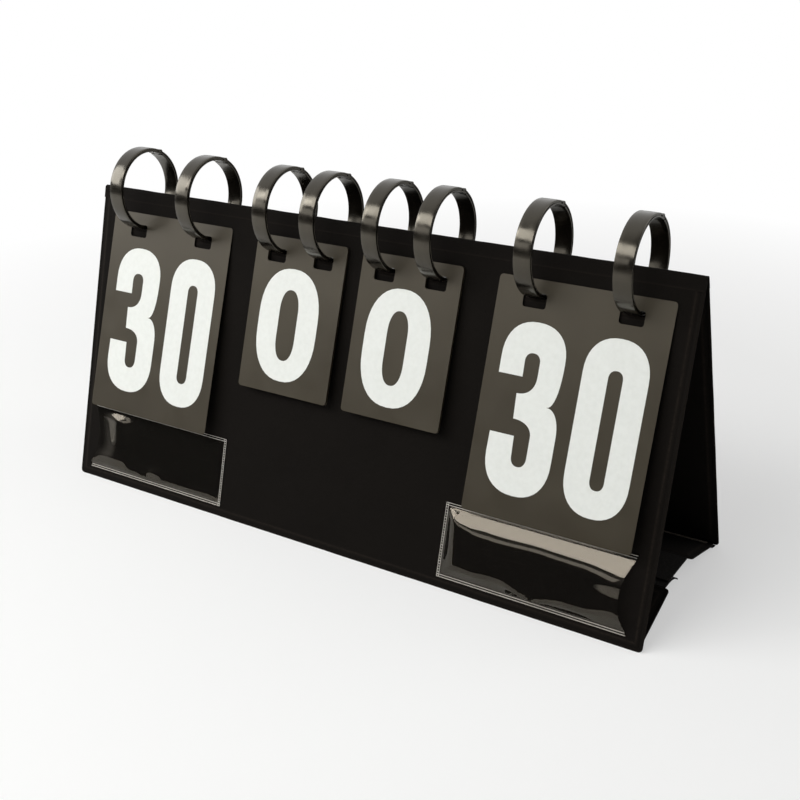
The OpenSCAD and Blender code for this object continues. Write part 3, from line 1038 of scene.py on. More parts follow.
@dataclass
class FrameCloth:
    """The covers of both boards and the cloth over their fold line."""

    slots: tuple[float, ...] = STAND.ring_x
    fold_gap: float = 0.3
    over: float = 0.14
    under: float = -0.12
    lap: float = 6.5
    bend_steps: int = 12

    def cover(self, face: Face, seed: float) -> WeldedCover:
        """Cover of one board.

        Args:
            face: the board.
            seed: start of its random slack.

        Returns:
            The cover, not yet built.
        """
        name = face.name.lower()
        return WeldedCover(
            f"{name}_cloth_cover", f"{name}_cover", f"{name}_panel", STAND.on_panel(face), STAND.board_len,
            self.fold_gap, STAND.down_to_table(0.9), seed, slots=self.slots,
        )  # fmt: skip

    def fold_section(self, off: float) -> list[Pair]:
        """Section of the cloth over the fold.

        Args:
            off: height off the boards' inner faces.

        Returns:
            Y and Z of its points, from the front to the rear.
        """
        front, rear = STAND.on_panel(Face.FRONT), STAND.on_panel(Face.REAR)
        line = [front(0, v, off)[1:] for v in (self.lap, self.lap * 0.8, 4.2, 3.0, 1.8, 0.8)]
        for k in range(self.bend_steps + 1):
            a = math.radians(180 - STAND.lean) + math.radians(2 * STAND.lean - 180) * k / self.bend_steps
            line.append((off * math.cos(a), STAND.fold_height + off * math.sin(a)))
        return line + [rear(0, v, off)[1:] for v in (0.8, 1.8, 3.0, 4.2, self.lap * 0.8, self.lap)]

    def build(self, finishes: Finishes) -> None:
        """Builds the two covers and the cloth over the fold line.

        Args:
            finishes: the materials.
        """
        for face, seed in ((Face.FRONT, 1.0), (Face.REAR, 5.0)):
            piece = self.cover(face, seed).build(finishes)
            log.info("%s: %d faces", piece.name, len(piece.data.polygons))
        t = STAND.panel_t
        strip = ClothStrip(
            "fold_cloth", "fold_strip", "front_panel", self.fold_section(t + self.over),
            self.fold_section(t + self.under), STAND.board_len - 0.6, 9.0, 0.16, "stretched", Fold.BENDS,
        )  # fmt: skip
        piece = strip.build(finishes.cloth, "fabric")
        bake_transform(piece)
        strip.flat
        log.info("%s", piece.name)


@dataclass
class BaseFlaps:
    """The two stiff flaps that brace the foot of the frame, their cloth hinges and their tongues."""

    line_y: float = 59.909
    line_z: float = 2.2
    slope: float = 17.0
    depth: float = 44.0
    gap: float = 0.35
    inset: float = 2.0
    thick: float = 1.8
    strip_t: float = 0.3
    tongue_inset: float = 5.0
    tongue_t: float = 0.9
    lap: float = 12.0
    tongue_gap: float = 0.2
    droop: float = 6.0
    bend: float = 0.6
    hinge_steps: int = 8
    tongue_steps: int = 12

    def on_flap(self, face: Face) -> Place:
        """Place of a point given as x, distance from the hinge line and depth below the flap's top.

        Args:
            face: board that the flap hangs on.

        Returns:
            The function that places a point.
        """
        s, c = math.sin(math.radians(self.slope)), math.cos(math.radians(self.slope))

        def place(x: float, d: float, n: float) -> Point:
            """Places a point of the flap."""
            y = -self.line_y + d * c + n * s
            return (x, y * -face.value, self.line_z + d * s - n * c)

        return place

    def hinge_section(self, face: Face, r: float) -> list[Pair]:
        """Section of a cloth hinge.

        Args:
            face: board that the flap hangs on.
            r: distance from the hinge line.

        Returns:
            Y and Z of its points, from the board to the flap.
        """
        line = []
        a, b = 270 - STAND.lean, 270 + self.slope
        for k in range(self.hinge_steps + 1):
            t = math.radians(a + (b - a) * k / self.hinge_steps)
            line.append((-self.line_y + r * math.cos(t), self.line_z + r * math.sin(t)))
        flap = self.on_flap(Face.FRONT)
        line += [flap(0, d, r)[1:] for d in (1.2, 2.4, 3.6, 4.8)]
        return [(y * -face.value, z) for y, z in line]

    def tongue_section(self, face: Face, up: float) -> list[Pair]:
        """Section of a tongue: the hook tongue droops at its end, and the loop tongue lies on it.

        Args:
            face: board whose flap carries the tongue.
            up: height over the middle of the tape.

        Returns:
            Y and Z of its points, from the flap to the free end.
        """
        s, c = math.sin(math.radians(self.slope)), math.cos(math.radians(self.slope))
        end_y = -self.line_y + self.depth * c + self.thick / 2 * s
        end_z = self.line_z + self.depth * s - self.thick / 2 * c
        line = []
        for k in range(self.tongue_steps + 1):
            t = k / self.tongue_steps
            if face is Face.FRONT:
                y, z = end_y + 0.1 + (self.lap / 4 - end_y) * t, end_z - self.droop * t**3
            else:
                y = -end_y - 0.1 - (self.lap - end_y) * t
                z = end_z + (self.tongue_t + self.tongue_gap) * math.sin(math.pi / 2 * t)
            line.append((y, z + up))
        return line

    def build(self, finishes: Finishes) -> None:
        """Builds the flaps' covers, hinges and tongues.

        Args:
            finishes: the materials.
        """
        length = STAND.board_len - 2 * self.inset
        for face, seed in ((Face.FRONT, 11.0), (Face.REAR, 15.0)):
            name = face.name.lower()
            cover = WeldedCover(
                f"{name}_base_cloth_cover", f"{name}_base_cover", f"{name}_base", self.on_flap(face), length,
                self.gap, self.depth, seed, step=4.5, free_start=True,
            )  # fmt: skip
            cover.build(finishes)
            strip = ClothStrip(
                f"{name}_base_cloth_hinge", f"{name}_base_hinge", f"{name}_panel",
                self.hinge_section(face, self.line_z), self.hinge_section(face, self.line_z - self.strip_t),
                length, seed + 1, 0.0, "stretched", Fold.BENDS, 6.0,
            )  # fmt: skip
            piece = strip.build(finishes.cloth, "fabric")
            z = self.line_z * MM
            start, end = (
                (0, -face.value * (-self.line_y + reach) * MM, z) for reach in (-self.bend, self.bend)
            )
            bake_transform(piece)
            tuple(start)
            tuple(end)
            log.info("%s_base: cover and hinge", name)
        for face, name, finish, slot in (
            (Face.FRONT, "hook_tongue", finishes.hook, "hook_tape"),
            (Face.REAR, "loop_tongue", finishes.loop, "fabric"),
        ):
            half, base = self.tongue_t / 2, f"{face.name.lower()}_base"
            strip = ClothStrip(
                f"{name}_tape", name, base, self.tongue_section(face, half), self.tongue_section(face, -half),
                STAND.board_len - 2 * self.tongue_inset, 21.0 - face.value, 0.05, "laid", Fold.FLATTENS,
            )  # fmt: skip
            piece = strip.build(finish, slot)
            y, z = strip.outer[0]
            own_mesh(piece)
            strip.flat
            log.info("%s", piece.name)


# Clear pockets


@dataclass(frozen=True)
class Buckle:
    """A soft buckle of a clear sheet, at shares of the pocket, with its reach and height in mm."""

    p: float
    q: float
    reach: Pair
    rise: float
    skew: float = 1.0  # how much farther it reaches down than up


@dataclass
class ClearPocket:
    """A pocket of clear sheet, welded to the front cover and open at its outer end."""

    side: Side
    seed: float
    bulge: float
    top_run: float
    low_run: float
    buckles: tuple[Buckle, ...]
    length: float = 118.0
    height: float = 45.5
    inner: float = 82.0
    rise: float = 7.0
    sheet_t: float = 0.35
    weld: float = 2.4
    end_run: float = 0.075
    lean: float = 0.4
    soft: float = 0.35
    cut: float = 6.0
    cells: tuple[int, int] = (70, 34)
    # Height and pace of the waves of the lower weld, and height and length of the sheet's slack
    low_waves: tuple[Pair, Pair] = ((0.4, 9.5), (0.2, 21.0))
    slack: Pair = (0.07, 46.0)

    def lift(self, p: float, q: float) -> float:
        """Rise of the sheet off the board.

        The sheet rises steeply from its lower weld and its closed end, leans back a little
        over its middle and falls in one flat facet to its upper weld.

        Args:
            p: share of the length, from the closed end.
            q: share of the height, from the bottom.

        Returns:
            The rise in millimetres.
        """
        e, f = self.weld / self.height, self.weld / self.length
        a = min(1.0, max(0.0, (q - e) / (1 - 2 * e)))
        b = max(0.0, (p - f) / self.end_run)
        (big, slow), (small, fast) = self.low_waves
        low = self.low_run * (1 + big * math.sin(slow * p + self.seed) + small * math.sin(fast * p))
        top = self.top_run * min(1.0, 0.45 + 2.6 * p)
        facets = (
            self.bulge * a / low,
            self.bulge * (1.0 - self.lean * (a - low)),
            self.bulge * max(0.3, 1.0 - self.lean * 0.6) * (1 - a) / top,
            self.bulge * b,
        )
        least = min(facets)
        blend = sum(math.exp(-min(40.0, (v - least) / self.soft)) for v in facets)
        soft = least - self.soft * math.log(blend)
        x, y = p * self.length, q * self.height
        slack = self.slack[0] * ripple(x, y * 1.4, self.slack[1], self.seed) * ease(least / 1.5)
        held = ease(min(a, 1 - a, b) * 9)
        extra = 0.0
        for fold in self.buckles:
            far = (p - fold.p) * self.length / fold.reach[0]
            up = (q - fold.q) * self.height / fold.reach[1]
            even = up < 0 or fold.skew == 1
            shape = math.exp(-((up / fold.skew) ** 2)) if even else max(0.0, 1 - up)
            extra += fold.rise * math.exp(-far * far) * shape
        return max(0.0, max(0.0, soft) + (slack + extra) * held)

    def point(self, p: float, q: float, up: float) -> Point:
        """Place of a point of the sheet.

        Args:
            p: share of the length, from the closed end.
            q: share of the height, from the bottom.
            up: height over the sheet's rear face.

        Returns:
            The point.
        """
        x = self.side.value * (self.inner + p * (self.length - self.cut * math.sin(math.pi * q)))
        v = STAND.down_to_table(STAND.panel_t) - self.rise - q * self.height
        return STAND.on_panel(Face.FRONT)(x, v, STAND.panel_t + 0.05 + self.lift(p, q) + up)

    def build(self, finishes: Finishes) -> None:
        """Builds the clear sheet and its pressed weld lines.

        Args:
            finishes: the materials.
        """
        name = self.side.name.lower()
        shape = Shape(f"{name}_pocket_sheet")
        e, f = self.weld / self.height, self.weld / self.length
        ps = steps(0, 1, 1 / self.cells[0], (f, 0.22, 0.995))
        qs = steps(0, 1, 1 / self.cells[1], (e, 1 - e))
        skins = [
            [[shape.add(self.point(p, q, up), (p * self.length, q * self.height)) for q in qs] for p in ps]
            for up in (0.0, self.sheet_t)
        ]
        for rows in skins:
            shape.skin(rows)
        low, high = skins
        ni, nj = len(ps) - 1, len(qs) - 1
        edge = [(0, j) for j in range(nj)] + [(i, nj) for i in range(ni)]
        edge += [(ni, j) for j in range(nj, 0, -1)] + [(i, 0) for i in range(ni, 0, -1)]
        shape.skin([[rows[i][j] for i, j in edge] for rows in (low, high)], closed=True)
        piece = shape.make(finishes.clear, 60)
        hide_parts(f"{name}_pocket")
        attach(piece, "front_panel")
        self.flat
        self.build_welds(name, finishes)
        log.info("%s: sheet and welds", name + "_pocket")

    @property
    def flat(self) -> Pair:
        """Mean length of the sheet and its width over its folds, before it was laid.

        Returns:
            Both in metres.
        """
        across = [self.point(0.5, k / 60, 0.0) for k in range(61)]
        width = sum(math.dist(a, b) for a, b in zip(across, across[1:]))
        return ((self.length - self.cut * 0.64) * MM, width * MM)

    def build_welds(self, name: str, finishes: Finishes) -> None:
        """Builds the raised lines that the welding tool leaves, with the ladder at the closed end, coloured
        near white as a painted highlight.

        Args:
            name: name of the side.
            finishes: the materials.
        """
        shape = Shape(f"{name}_pocket_weld_lines")
        fq, fp = 1 / self.height, 1 / self.length
        for mm in (0.5, 1.9):
            self.ridge(shape, [(0.004 + 0.992 * k / 60, mm * fq) for k in range(61)], 0.34)
            self.ridge(shape, [(0.004 + 0.992 * k / 60, 1 - mm * fq) for k in range(61)], 0.3)
            self.ridge(shape, [(mm * fp, 0.012 + 0.976 * k / 24) for k in range(25)], 0.24)
        rungs = int(self.height / 1.6)
        for k in range(1, rungs):
            q = k / rungs
            self.ridge(shape, [(0.6 * fp, q), (1.8 * fp, q)], 0.3)
        piece = shape.make(finishes.weld, 60)
        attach(piece, "front_panel")

    def ridge(self, shape: Shape, line: list[Pair], width: float) -> None:
        """Adds one raised line along shares of the pocket.

        Args:
            shape: piece in the making.
            line: its course, as shares of the pocket's length and height.
            width: width of the line in millimetres.
        """
        rows = []
        for k, (p, q) in enumerate(line):
            a, b = line[max(0, k - 1)], line[min(len(line) - 1, k + 1)]
            du, dv = (b[0] - a[0]) * self.length, (b[1] - a[1]) * self.height
            size = math.hypot(du, dv)
            ox, oy = -dv / size * width / 2 / self.length, du / size * width / 2 / self.height
            row = []
            for s, up in ((-1, -0.1), (-0.8, 0.09), (0, 0.14), (0.8, 0.09), (1, -0.1)):
                here = self.point(min(1, max(0, p + ox * s)), min(1, max(0, q + oy * s)), self.sheet_t + up)
                row.append(shape.add(here, (p * self.length + s, q * self.height)))
            rows.append(row)
        shape.skin(rows, closed=True)
        shape.fill(rows[0])
        shape.fill(rows[-1])


# The left sheet lies nearly flat with three small buckles, and the right one stands off its board
POCKETS = (
    ClearPocket(
        Side.LEFT, 31.0, 2.0, 0.2, 0.04,
        (
            Buckle(0.82, 0.82, (10.0, 5.4), 2.0, 7.0),
            Buckle(0.86, 0.24, (12.0, 3.8), 0.7),
            Buckle(0.5, 0.2, (5.5, 3.4), 0.7),
        ),
        lean=1.25,
    ),
    ClearPocket(Side.RIGHT, 37.0, 5.5, 0.26, 0.13, (Buckle(1.0, 0.6, (16.0, 4.6), 0.7),)),
)  # fmt: skip


# Snap rings


@dataclass
class SnapRing:
    """A moulded binder ring in two halves: a knuckle hinge with a pin and a snap tongue in a socket."""

    number: int
    x: float
    ri: float = STAND.ring_ri
    ro: float = STAND.ring_ro
    width: float = STAND.ring_w
    edge: float = 0.45
    groove_w: float = 0.8
    groove_d: float = 0.55
    hinge_at: float = 58.0
    knuckle_r: float = 1.6
    knuckle_w: float = 3.6
    pin_r: float = 0.7
    fit: float = 0.06
    tongue: Point = (2.4, 4.4, 1.0)
    socket_fit: float = 0.12
    turn_step: float = 2.4
    turn_count: int = 28
    bevel: float = 0.18

    @property
    def rm(self) -> float:
        """Radius of the middle of the band's wall."""
        return (self.ri + self.ro) / 2

    def angle(self, length: float) -> float:
        """Angle in degrees that a length takes up round the band."""
        return math.degrees(length / self.rm)

    def spot(self, r: float, angle: float, u: float) -> Point:
        """Place of a point by radius, angle from the rear and distance along the boards."""
        a = math.radians(angle)
        return (self.x + u, r * math.cos(a), STAND.fold_height + STAND.ring_rise + r * math.sin(a))

    def section(self) -> list[Pair]:
        """Section of the band, with soft edges and a groove in each flank.

        Returns:
            Radius and width of its points.
        """
        e, w, rm, g = self.edge, self.width / 2, self.rm, self.groove_w / 2
        near: list[Pair] = []
        for k in range(4):
            a = math.pi / 2 * k / 3
            near.append((self.ri + e - e * math.cos(a), w - e + e * math.sin(a)))
        deep = w - self.groove_d
        near += [(rm - g - 0.1, w), (rm - g, w - 0.1), (rm - g + 0.06, deep)]
        near += [(rm + g - 0.06, deep), (rm + g, w - 0.1), (rm + g + 0.1, w)]
        for k in range(4):
            a = math.pi / 2 * k / 3
            near.append((self.ro - e + e * math.sin(a), w - e + e * math.cos(a)))
        outer = [(self.ro + 0.03, w * 0.45), (self.ro + 0.04, 0.0), (self.ro + 0.03, -w * 0.45)]
        return near + outer + [(r, -u) for r, u in reversed(near)]

    def sweep(
        self, shape: Shape, section: list[Pair], start: float, end: float, socket: bool = False
    ) -> None:
        """Sweeps a section round the ring and closes its ends.

        Args:
            shape: piece in the making.
            section: radius and width of each point.
            start: first angle.
            end: last angle.
            socket: leaves the snap's socket in the last end.
        """
        count = max(2, round(abs(end - start) / self.turn_step))
        rows = []
        for k in range(count + 1):
            a = start + (end - start) * k / count
            along = math.radians(a) * self.rm
            rows.append([shape.add(self.spot(r, a, u), (along, r + u)) for r, u in section])
        shape.skin(rows, closed=True)
        shape.fill(rows[0])
        if not socket:
            shape.fill(rows[-1])
            return
        fit = self.socket_fit
        reach, wide, thick = (size + fit * k for size, k in zip(self.tongue, (1, 2, 2)))
        near, far, side = self.rm - thick / 2, self.rm + thick / 2, wide / 2
        corners = [(near, -side), (far, -side), (far, side), (near, side)]
        mouth = [shape.add(self.spot(r, end, u)) for r, u in corners]
        floor = [shape.add(self.spot(r, end - self.angle(reach), u)) for r, u in corners]
        shape.fill(rows[-1], mouth)
        shape.skin([mouth, floor], closed=True)
        shape.face(*floor)

    def turned(self, shape: Shape, profile: list[Pair], closed: bool) -> None:
        """Turns a profile about the hinge pin.

        Args:
            shape: piece in the making.
            profile: distance from the pin's axis and place along it.
            closed: the profile is a loop, as for a bored knuckle.
        """
        a = math.radians(self.hinge_at)
        mid = self.ri + self.knuckle_r
        cy, cz = mid * math.cos(a), STAND.fold_height + STAND.ring_rise + mid * math.sin(a)
        rows = []
        for k in range(self.turn_count):
            t = 2 * math.pi * k / self.turn_count
            c, s = math.cos(t), math.sin(t)
            rows.append([shape.add((self.x + u, cy + r * c, cz + r * s), (r * t, u)) for r, u in profile])
        shape.skin(rows, closed=closed, looped=True)
        if not closed:
            shape.face(*(row[0] for row in rows))
            shape.face(*(row[-1] for row in rows))

    def build(self, finishes: Finishes) -> None:
        """Builds both halves. The arc stays threaded, and the gate opens about the pin.

        Args:
            finishes: the materials.
        """
        section = self.section()
        hinge_half, snap_half = self.angle(self.knuckle_r + 0.25), self.angle(0.03)
        knuckle = self.knuckle_w / 2
        side_low, side_high = knuckle + self.fit, self.width / 2 - 0.1
        near, far = self.ri + 0.1, self.ro - 0.1
        r, b = self.knuckle_r, self.bevel
        arc = Shape(f"ring_{self.number}_arc_moulding")
        self.sweep(arc, section, self.hinge_at - hinge_half, self.hinge_at - 180 + snap_half)
        lug = [(near, -knuckle), (far, -knuckle), (far, knuckle), (near, knuckle)]
        self.sweep(arc, lug, self.hinge_at - hinge_half - 1, self.hinge_at - self.angle(0.5))
        drum = [(r - b, -knuckle), (r, -knuckle + b), (r, knuckle - b), (r - b, knuckle)]
        self.turned(arc, drum, False)
        tip, reach, point = 0.35, self.width / 2 - 0.2, 0.25
        pin = [(tip, -reach), (self.pin_r, -reach + point), (self.pin_r, reach - point), (tip, reach)]
        self.turned(arc, pin, False)
        self.snap_tongue(arc)
        gate = Shape(f"ring_{self.number}_gate_moulding")
        self.sweep(gate, section, self.hinge_at + hinge_half, self.hinge_at + 180 - snap_half, socket=True)
        for s in (-1, 1):
            low, high = sorted((s * side_low, s * side_high))
            lug = [(near, low), (far, low), (far, high), (near, high)]
            self.sweep(gate, lug, self.hinge_at + self.angle(1.15), self.hinge_at + hinge_half + 1)
            bore = self.pin_r + self.fit
            drum = [(r - b, low), (r, low + b), (r, high - b), (r - b, high)]
            self.turned(gate, [(bore, low), *drum, (bore, high)], True)
        gate_body = f"ring_{self.number}_gate_body"
        for shape, half, body in ((arc, "arc", "front_panel"), (gate, "gate", gate_body)):
            piece = shape.make(finishes.ring, 38)
            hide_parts(f"ring_{self.number}_{half}")
            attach(piece, body)
        log.info("ring %d: arc and gate", self.number)

    def snap_tongue(self, shape: Shape) -> None:
        """Adds the snap tongue, narrower at its tip.

        Args:
            shape: piece in the making.
        """
        reach, wide, thick = self.tongue
        end = self.hinge_at - 180
        rows = []
        corners = ((-1, -1), (1, -1), (1, 1), (-1, 1))
        for go, less in ((-0.8, 0.0), (reach - 0.35, 0.0), (reach - 0.05, 0.16), (reach - 0.05, 0.3)):
            a = end - self.angle(go)
            t, w = thick / 2 - less, wide / 2 - less
            rows.append([shape.add(self.spot(self.rm + i * t, a, j * w)) for i, j in corners])
        shape.skin(rows, closed=True)
        shape.face(*rows[0])
        shape.face(*rows[-1])


# Cards and their numerals


class Bend(Enum):
    """How a numeral's outline goes on to its next point: its letter in the paths below."""

    LINE = "L"
    UPRIGHT = "U"  # a quarter turn that leaves upright
    LEVEL = "W"  # a quarter turn that leaves level


# Outlines of the numerals in a box 40 wide and 96.5 high, and the holes in them
NUMERALS: dict[str, tuple[str, ...]] = {
    "0": (
        "L1.5,20.5 L1.5,75 U20,96 W38.5,75 L38.5,20.5 U20,-1 W1.5,20.5",
        "L16.2,19.5 L16.2,74 U20.35,79 W24.5,74 L24.5,19.5 U20.35,14.3 W16.2,19.5",
    ),
    "1": (
        "L17,0 L32,0 L32,96.5 L21,96.5 L17.5,89.5 L12,85.5 L5,83.5 L5,72 L17,72",
    ),
    "2": (
        "L0.5,62 L0.5,76 U20,96.5 W39.5,76 L39.5,66 L33,50 L20,27 L17,16.5 L39,16.5 L39,0 "
        "L0.5,0 L0.5,14 L4,27 L19,54 L24.5,66 L24.5,76 U20,80.5 W15.5,76 L15.5,62",
    ),
    "3": (
        "L0,65.9 L0,75 U19,96.5 W38,77 U31.5,52 W40,35.5 L40,22 U20.5,0 W0.5,21.5 L0.7,32.9 "
        "L15.6,32.9 L16,22 U20.5,16.4 W25.2,22.5 L25.2,33.5 U13.4,42.3 L12.8,56.4 W23.5,67.5 "
        "L23.5,74.5 U19,79.6 W14.4,74.5 L14.6,65.9",
    ),
    "4": (
        "L20,0 L34,0 L34,19 L40,19 L40,33 L34,33 L34,96.5 L17,96.5 L0,35 L0,19 L20,19",
        "L20,33 L20,66 L11,33",
    ),
    "5": (
        "L3,96.5 L37,96.5 L37,82 L17,82 L16.3,62.5 W40,48 L40,21 U20,0 W0,21 L0,31 L15,31 "
        "L15,21 U20,16 W25,21 L25,44 U20,50 L15,45 L1.5,45",
    ),
    "6": (
        "L39.5,66 L39.5,76 U20,96.5 W0.5,76 L0.5,21 U20,0 W39.5,21 L39.5,42 U25,57.5 L15.5,54 "
        "L15.5,76 U20,80.5 W24.5,76 L24.5,66",
        "L15.5,20 L15.5,39.5 U20,43.5 W24.5,39.5 L24.5,20 U20,16 W15.5,20",
    ),
    "7": (
        "L0.5,80.5 L0.5,96.5 L39.5,96.5 L39.5,82 L24,0 L8.5,0 L24,80.5",
    ),
}

# The broad nought of the small cards, in a box of its own
BROAD_NOUGHT: tuple[str, ...] = (
    "L0,30 L0,39.7 U22.3,69.7 W44.6,39.7 L44.6,30 U22.3,0 W0,30",
    "L15.2,26.9 L15.2,42.8 U22.2,56.8 W29.2,42.8 L29.2,26.9 U22.2,12.9 W15.2,26.9",
)


def traced(path: str, power: float = 2.3, count: int = 10) -> list[Pair]:
    """Turns an outline into points, its bends as quarters of a superellipse.

    Args:
        path: a word for each run, with the letter of its bend and the x and y of its end.
        power: power of the superellipse.
        count: points in a quarter.

    Returns:
        The points, without the start repeated.
    """
    runs = [(Bend(word[0]), *map(float, word[1:].split(","))) for word in path.split()]
    points: list[Pair] = [runs[0][1:]]
    for bend, x, y in runs[1:]:
        x0, y0 = points[-1]
        if bend is Bend.LINE:
            points.append((x, y))
            continue
        for k in range(1, count + 1):
            t = math.pi / 2 * k / count
            slow, fast = 1 - abs(math.cos(t)) ** (2 / power), math.sin(t) ** (2 / power)
            sx, sy = (slow, fast) if bend is Bend.UPRIGHT else (fast, slow)
            points.append((x0 + (x - x0) * sx, y0 + (y - y0) * sy))
    return [p for k, p in enumerate(points) if math.dist(p, points[k - 1]) > 0.02]


@dataclass(frozen=True)
class CardSizes:
    """Sizes of one kind of card, in millimetres and degrees."""

    width: float
    height: float
    slot_at: tuple[float, float]
    mid: float
    tilt: float
    corner: float = 2.0
    slot_w: float = 14.0
    slot_h: float = 8.4
    strip: float = 7.4
    slot_r: float = 1.6
    thick: float = 0.2
    top: float = 16.55
    deep: float = 0.0

    def place(self, side: Side, offset: float, turned: bool = False) -> Place:
        """Place of a point of a hanging card, by its x, its y below the top edge and its height.

        Args:
            side: end of the boards that the card hangs at.
            offset: distance of the card's rear face from the turning line.
            turned: the card hangs at the rear.

        Returns:
            The function that places a point.
        """
        a = math.radians(90 - STAND.lean - self.tilt)
        rise = STAND.ring_ri - math.sqrt(STAND.ring_ri**2 - (offset + self.deep) ** 2)

        def put(x: float, y: float, z: float) -> Point:
            """Places a point of the card.

            Args:
                x: place across the card, from its middle.
                y: place up the card, from its top edge.
                z: height off its rear face.

            Returns:
                The point.
            """
            up, out = y - self.top + rise, offset + z
            py, pz = up * math.cos(a) - out * math.sin(a), up * math.sin(a) + out * math.cos(a)
            z = STAND.fold_height + STAND.ring_rise + pz
            return (side.value * self.mid + x, -py if turned else py, z)

        return put

    def outlines(self, less: float) -> list[list[Pair]]:
        """Rounded outline of the card and of its two slots, Y up from the top edge.

        Args:
            less: how far the card's edges are drawn in.

        Returns:
            The outline of the card, and then of each slot.
        """
        width, height = self.width - 2 * less, self.height - 2 * less
        loops = [self.rounded(0, -self.height / 2, width, height, self.corner)]
        mid = -self.strip - self.slot_h / 2
        return loops + [self.rounded(x, mid, self.slot_w, self.slot_h, self.slot_r) for x in self.slot_at]

    @staticmethod
    def rounded(cx: float, cy: float, w: float, h: float, r: float) -> list[Pair]:
        """Points of a rectangle with round corners.

        Args:
            cx: x of its middle.
            cy: y of its middle.
            w: width.
            h: height.
            r: radius of the corners.

        Returns:
            The points, anticlockwise.
        """
        found = []
        for q in range(4):
            for k in range(6):
                a = math.radians(q * 90 + k * 18)
                sx, sy = (1 if q in (0, 3) else -1), (1 if q < 2 else -1)
                x, y = cx + sx * (w / 2 - r), cy + sy * (h / 2 - r)
                found.append((x + r * math.cos(a), y + r * math.sin(a)))
        return found


@dataclass
class Print:
    """The numerals printed on one card."""

    name: str
    body: str
    place: Place
    text: str
    low: float
    high: float
    small: bool = False

    def boxes(self) -> list[tuple[tuple[str, ...], Pair, Pair]]:
        """Outlines of each numeral with its scale and its lower left corner on the card.

        Returns:
            Outlines, scale and corner of each numeral.
        """
        if self.small and self.text == "0":
            return [(BROAD_NOUGHT, (1.0, 1.0), (-24.9, -88.0))]
        if self.small:
            return [(NUMERALS[self.text], (44.6 / 40, 69.7 / 96.5), (-24.5, -88.0))]
        if len(self.text) == 1:
            return [(NUMERALS[self.text], (1.0, 1.0), (-20.0, -119.5))]
        return [(NUMERALS[c], (1.0, 1.0), (x, -119.5)) for c, x in zip(self.text, (-42.0, 5.0))]

    def build(self, finishes: Finishes) -> bpy.types.Object:
        """Builds the print as a thin closed layer of ink.

        Args:
            finishes: the materials.

        Returns:
            The print.
        """
        shape = Shape(self.name)
        for paths, (sx, sy), (ox, oy) in self.boxes():
            spots = [[(ox + x * sx, oy + y * sy) for x, y in traced(path)] for path in paths]
            shape.slab(spots, (self.low, self.high), lambda _, x, y, z: self.place(x, y, z))
        piece = shape.make(finishes.ink, 25)
        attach(piece, self.body)
        return piece


@dataclass
class CardSets:
    """All the number cards: eight set cards and the score cards of each side."""

    small: CardSizes = CardSizes(67.6, 96.0, (-17.5, 17.5), 39.5, 2.5)
    big: CardSizes = CardSizes(102.0, 134.0, (-28.05, 28.05), 146.45, 3.0)
    back: CardSizes = CardSizes(102.0, 134.0, (-28.05, 28.05), 146.45, 2.0, top=15.9, deep=2.0)
    small_first: float = 0.3559
    small_pitch: float = 0.23
    big_first: float = 0.2116
    back_first: float = 0.5229
    pack_pitch: float = 2.08
    pack_count: int = 10
    draw_in: float = 0.22
    gap: float = 0.005
    print_from: float = 0.2
    shift: Pair = (0.24, 0.2)
    packs: tuple[Label, ...] = (("0_to_9", "0"), ("10_to_19", "10"), ("20_to_29", "20"))

    def build(self, finishes: Finishes) -> None:
        """Dresses the cards and builds their prints and the turned packs.

        Args:
            finishes: the materials.
        """
        base = self.print_from
        for side in Side:
            name = side.name.lower()
            for i in range(8):
                dress(f"{name}_set_card_{i}", finishes.card)
                place = self.small.place(side, self.small_first + (7 - i) * self.small_pitch)
                ink = 0.028 if i == 0 else 0.014
                Print(
                    f"{name}_set_print_{i}", f"{name}_set_{i}", place, str(i), base, base + ink, True
                ).build(finishes)
            dress(f"{name}_score_card_30", finishes.card)
            place = self.big.place(side, self.big_first)
            Print(f"{name}_score_print_30", f"{name}_score_30", place, "30", base, 0.228).build(finishes)
            for k, (label, text) in enumerate(self.packs):
                self.pack(side, k, label, finishes)
                place = self.back.place(side, self.back_first + k * self.pack_pitch, turned=True)
                Print(
                    f"{name}_score_print_{text}", f"{name}_score_{label}", place, text, -0.02, 0.0
                ).build(finishes)
            log.info("%s cards and prints", name)

    def pack(self, side: Side, k: int, label: str, finishes: Finishes) -> None:
        """Builds ten turned cards as ten sheets that don't line up quite.

        Args:
            side: end of the boards.
            k: number of the pack, 0 turned first.
            label: numbers of its cards.
            finishes: the materials.
        """
        name = side.name.lower()
        shape = Shape(f"{name}_score_pack_{label}_sheets")
        place = self.back.place(side, self.back_first + k * self.pack_pitch, turned=True)
        for j in range(self.pack_count):
            seed = 3.7 * j + 11 * k + 5 * side.value
            across = self.shift[0] * noise.noise(Vector((seed, 0.3, 0.1)))
            down = self.shift[1] * noise.noise(Vector((0.2, seed, 0.4)))

            def spot(n: int, x: float, y: float, z: float, move: Pair = (across, down)) -> Point:
                """Places a point of one sheet. Its slots shift half as far as its edges."""
                share = 1.0 if n == 0 else 0.5
                return place(x + move[0] * share, y + move[1] * share, z)

            low, high = j * self.back.thick + self.gap, (j + 1) * self.back.thick - self.gap
            shape.slab(self.back.outlines(self.draw_in), (low, high), spot)
        piece = shape.make(finishes.card, 25)
        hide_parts(f"{name}_score_pack_{label}")
        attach(piece, f"{name}_score_{label}")


def dress(node: str, finish: bpy.types.Material) -> None:
    """Gives a carried-over CAD node its material.

    Args:
        node: name of the node.
        finish: the material.
    """
    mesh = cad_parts[node].data
    mesh.materials.clear()
    mesh.materials.append(finish)


# Studio


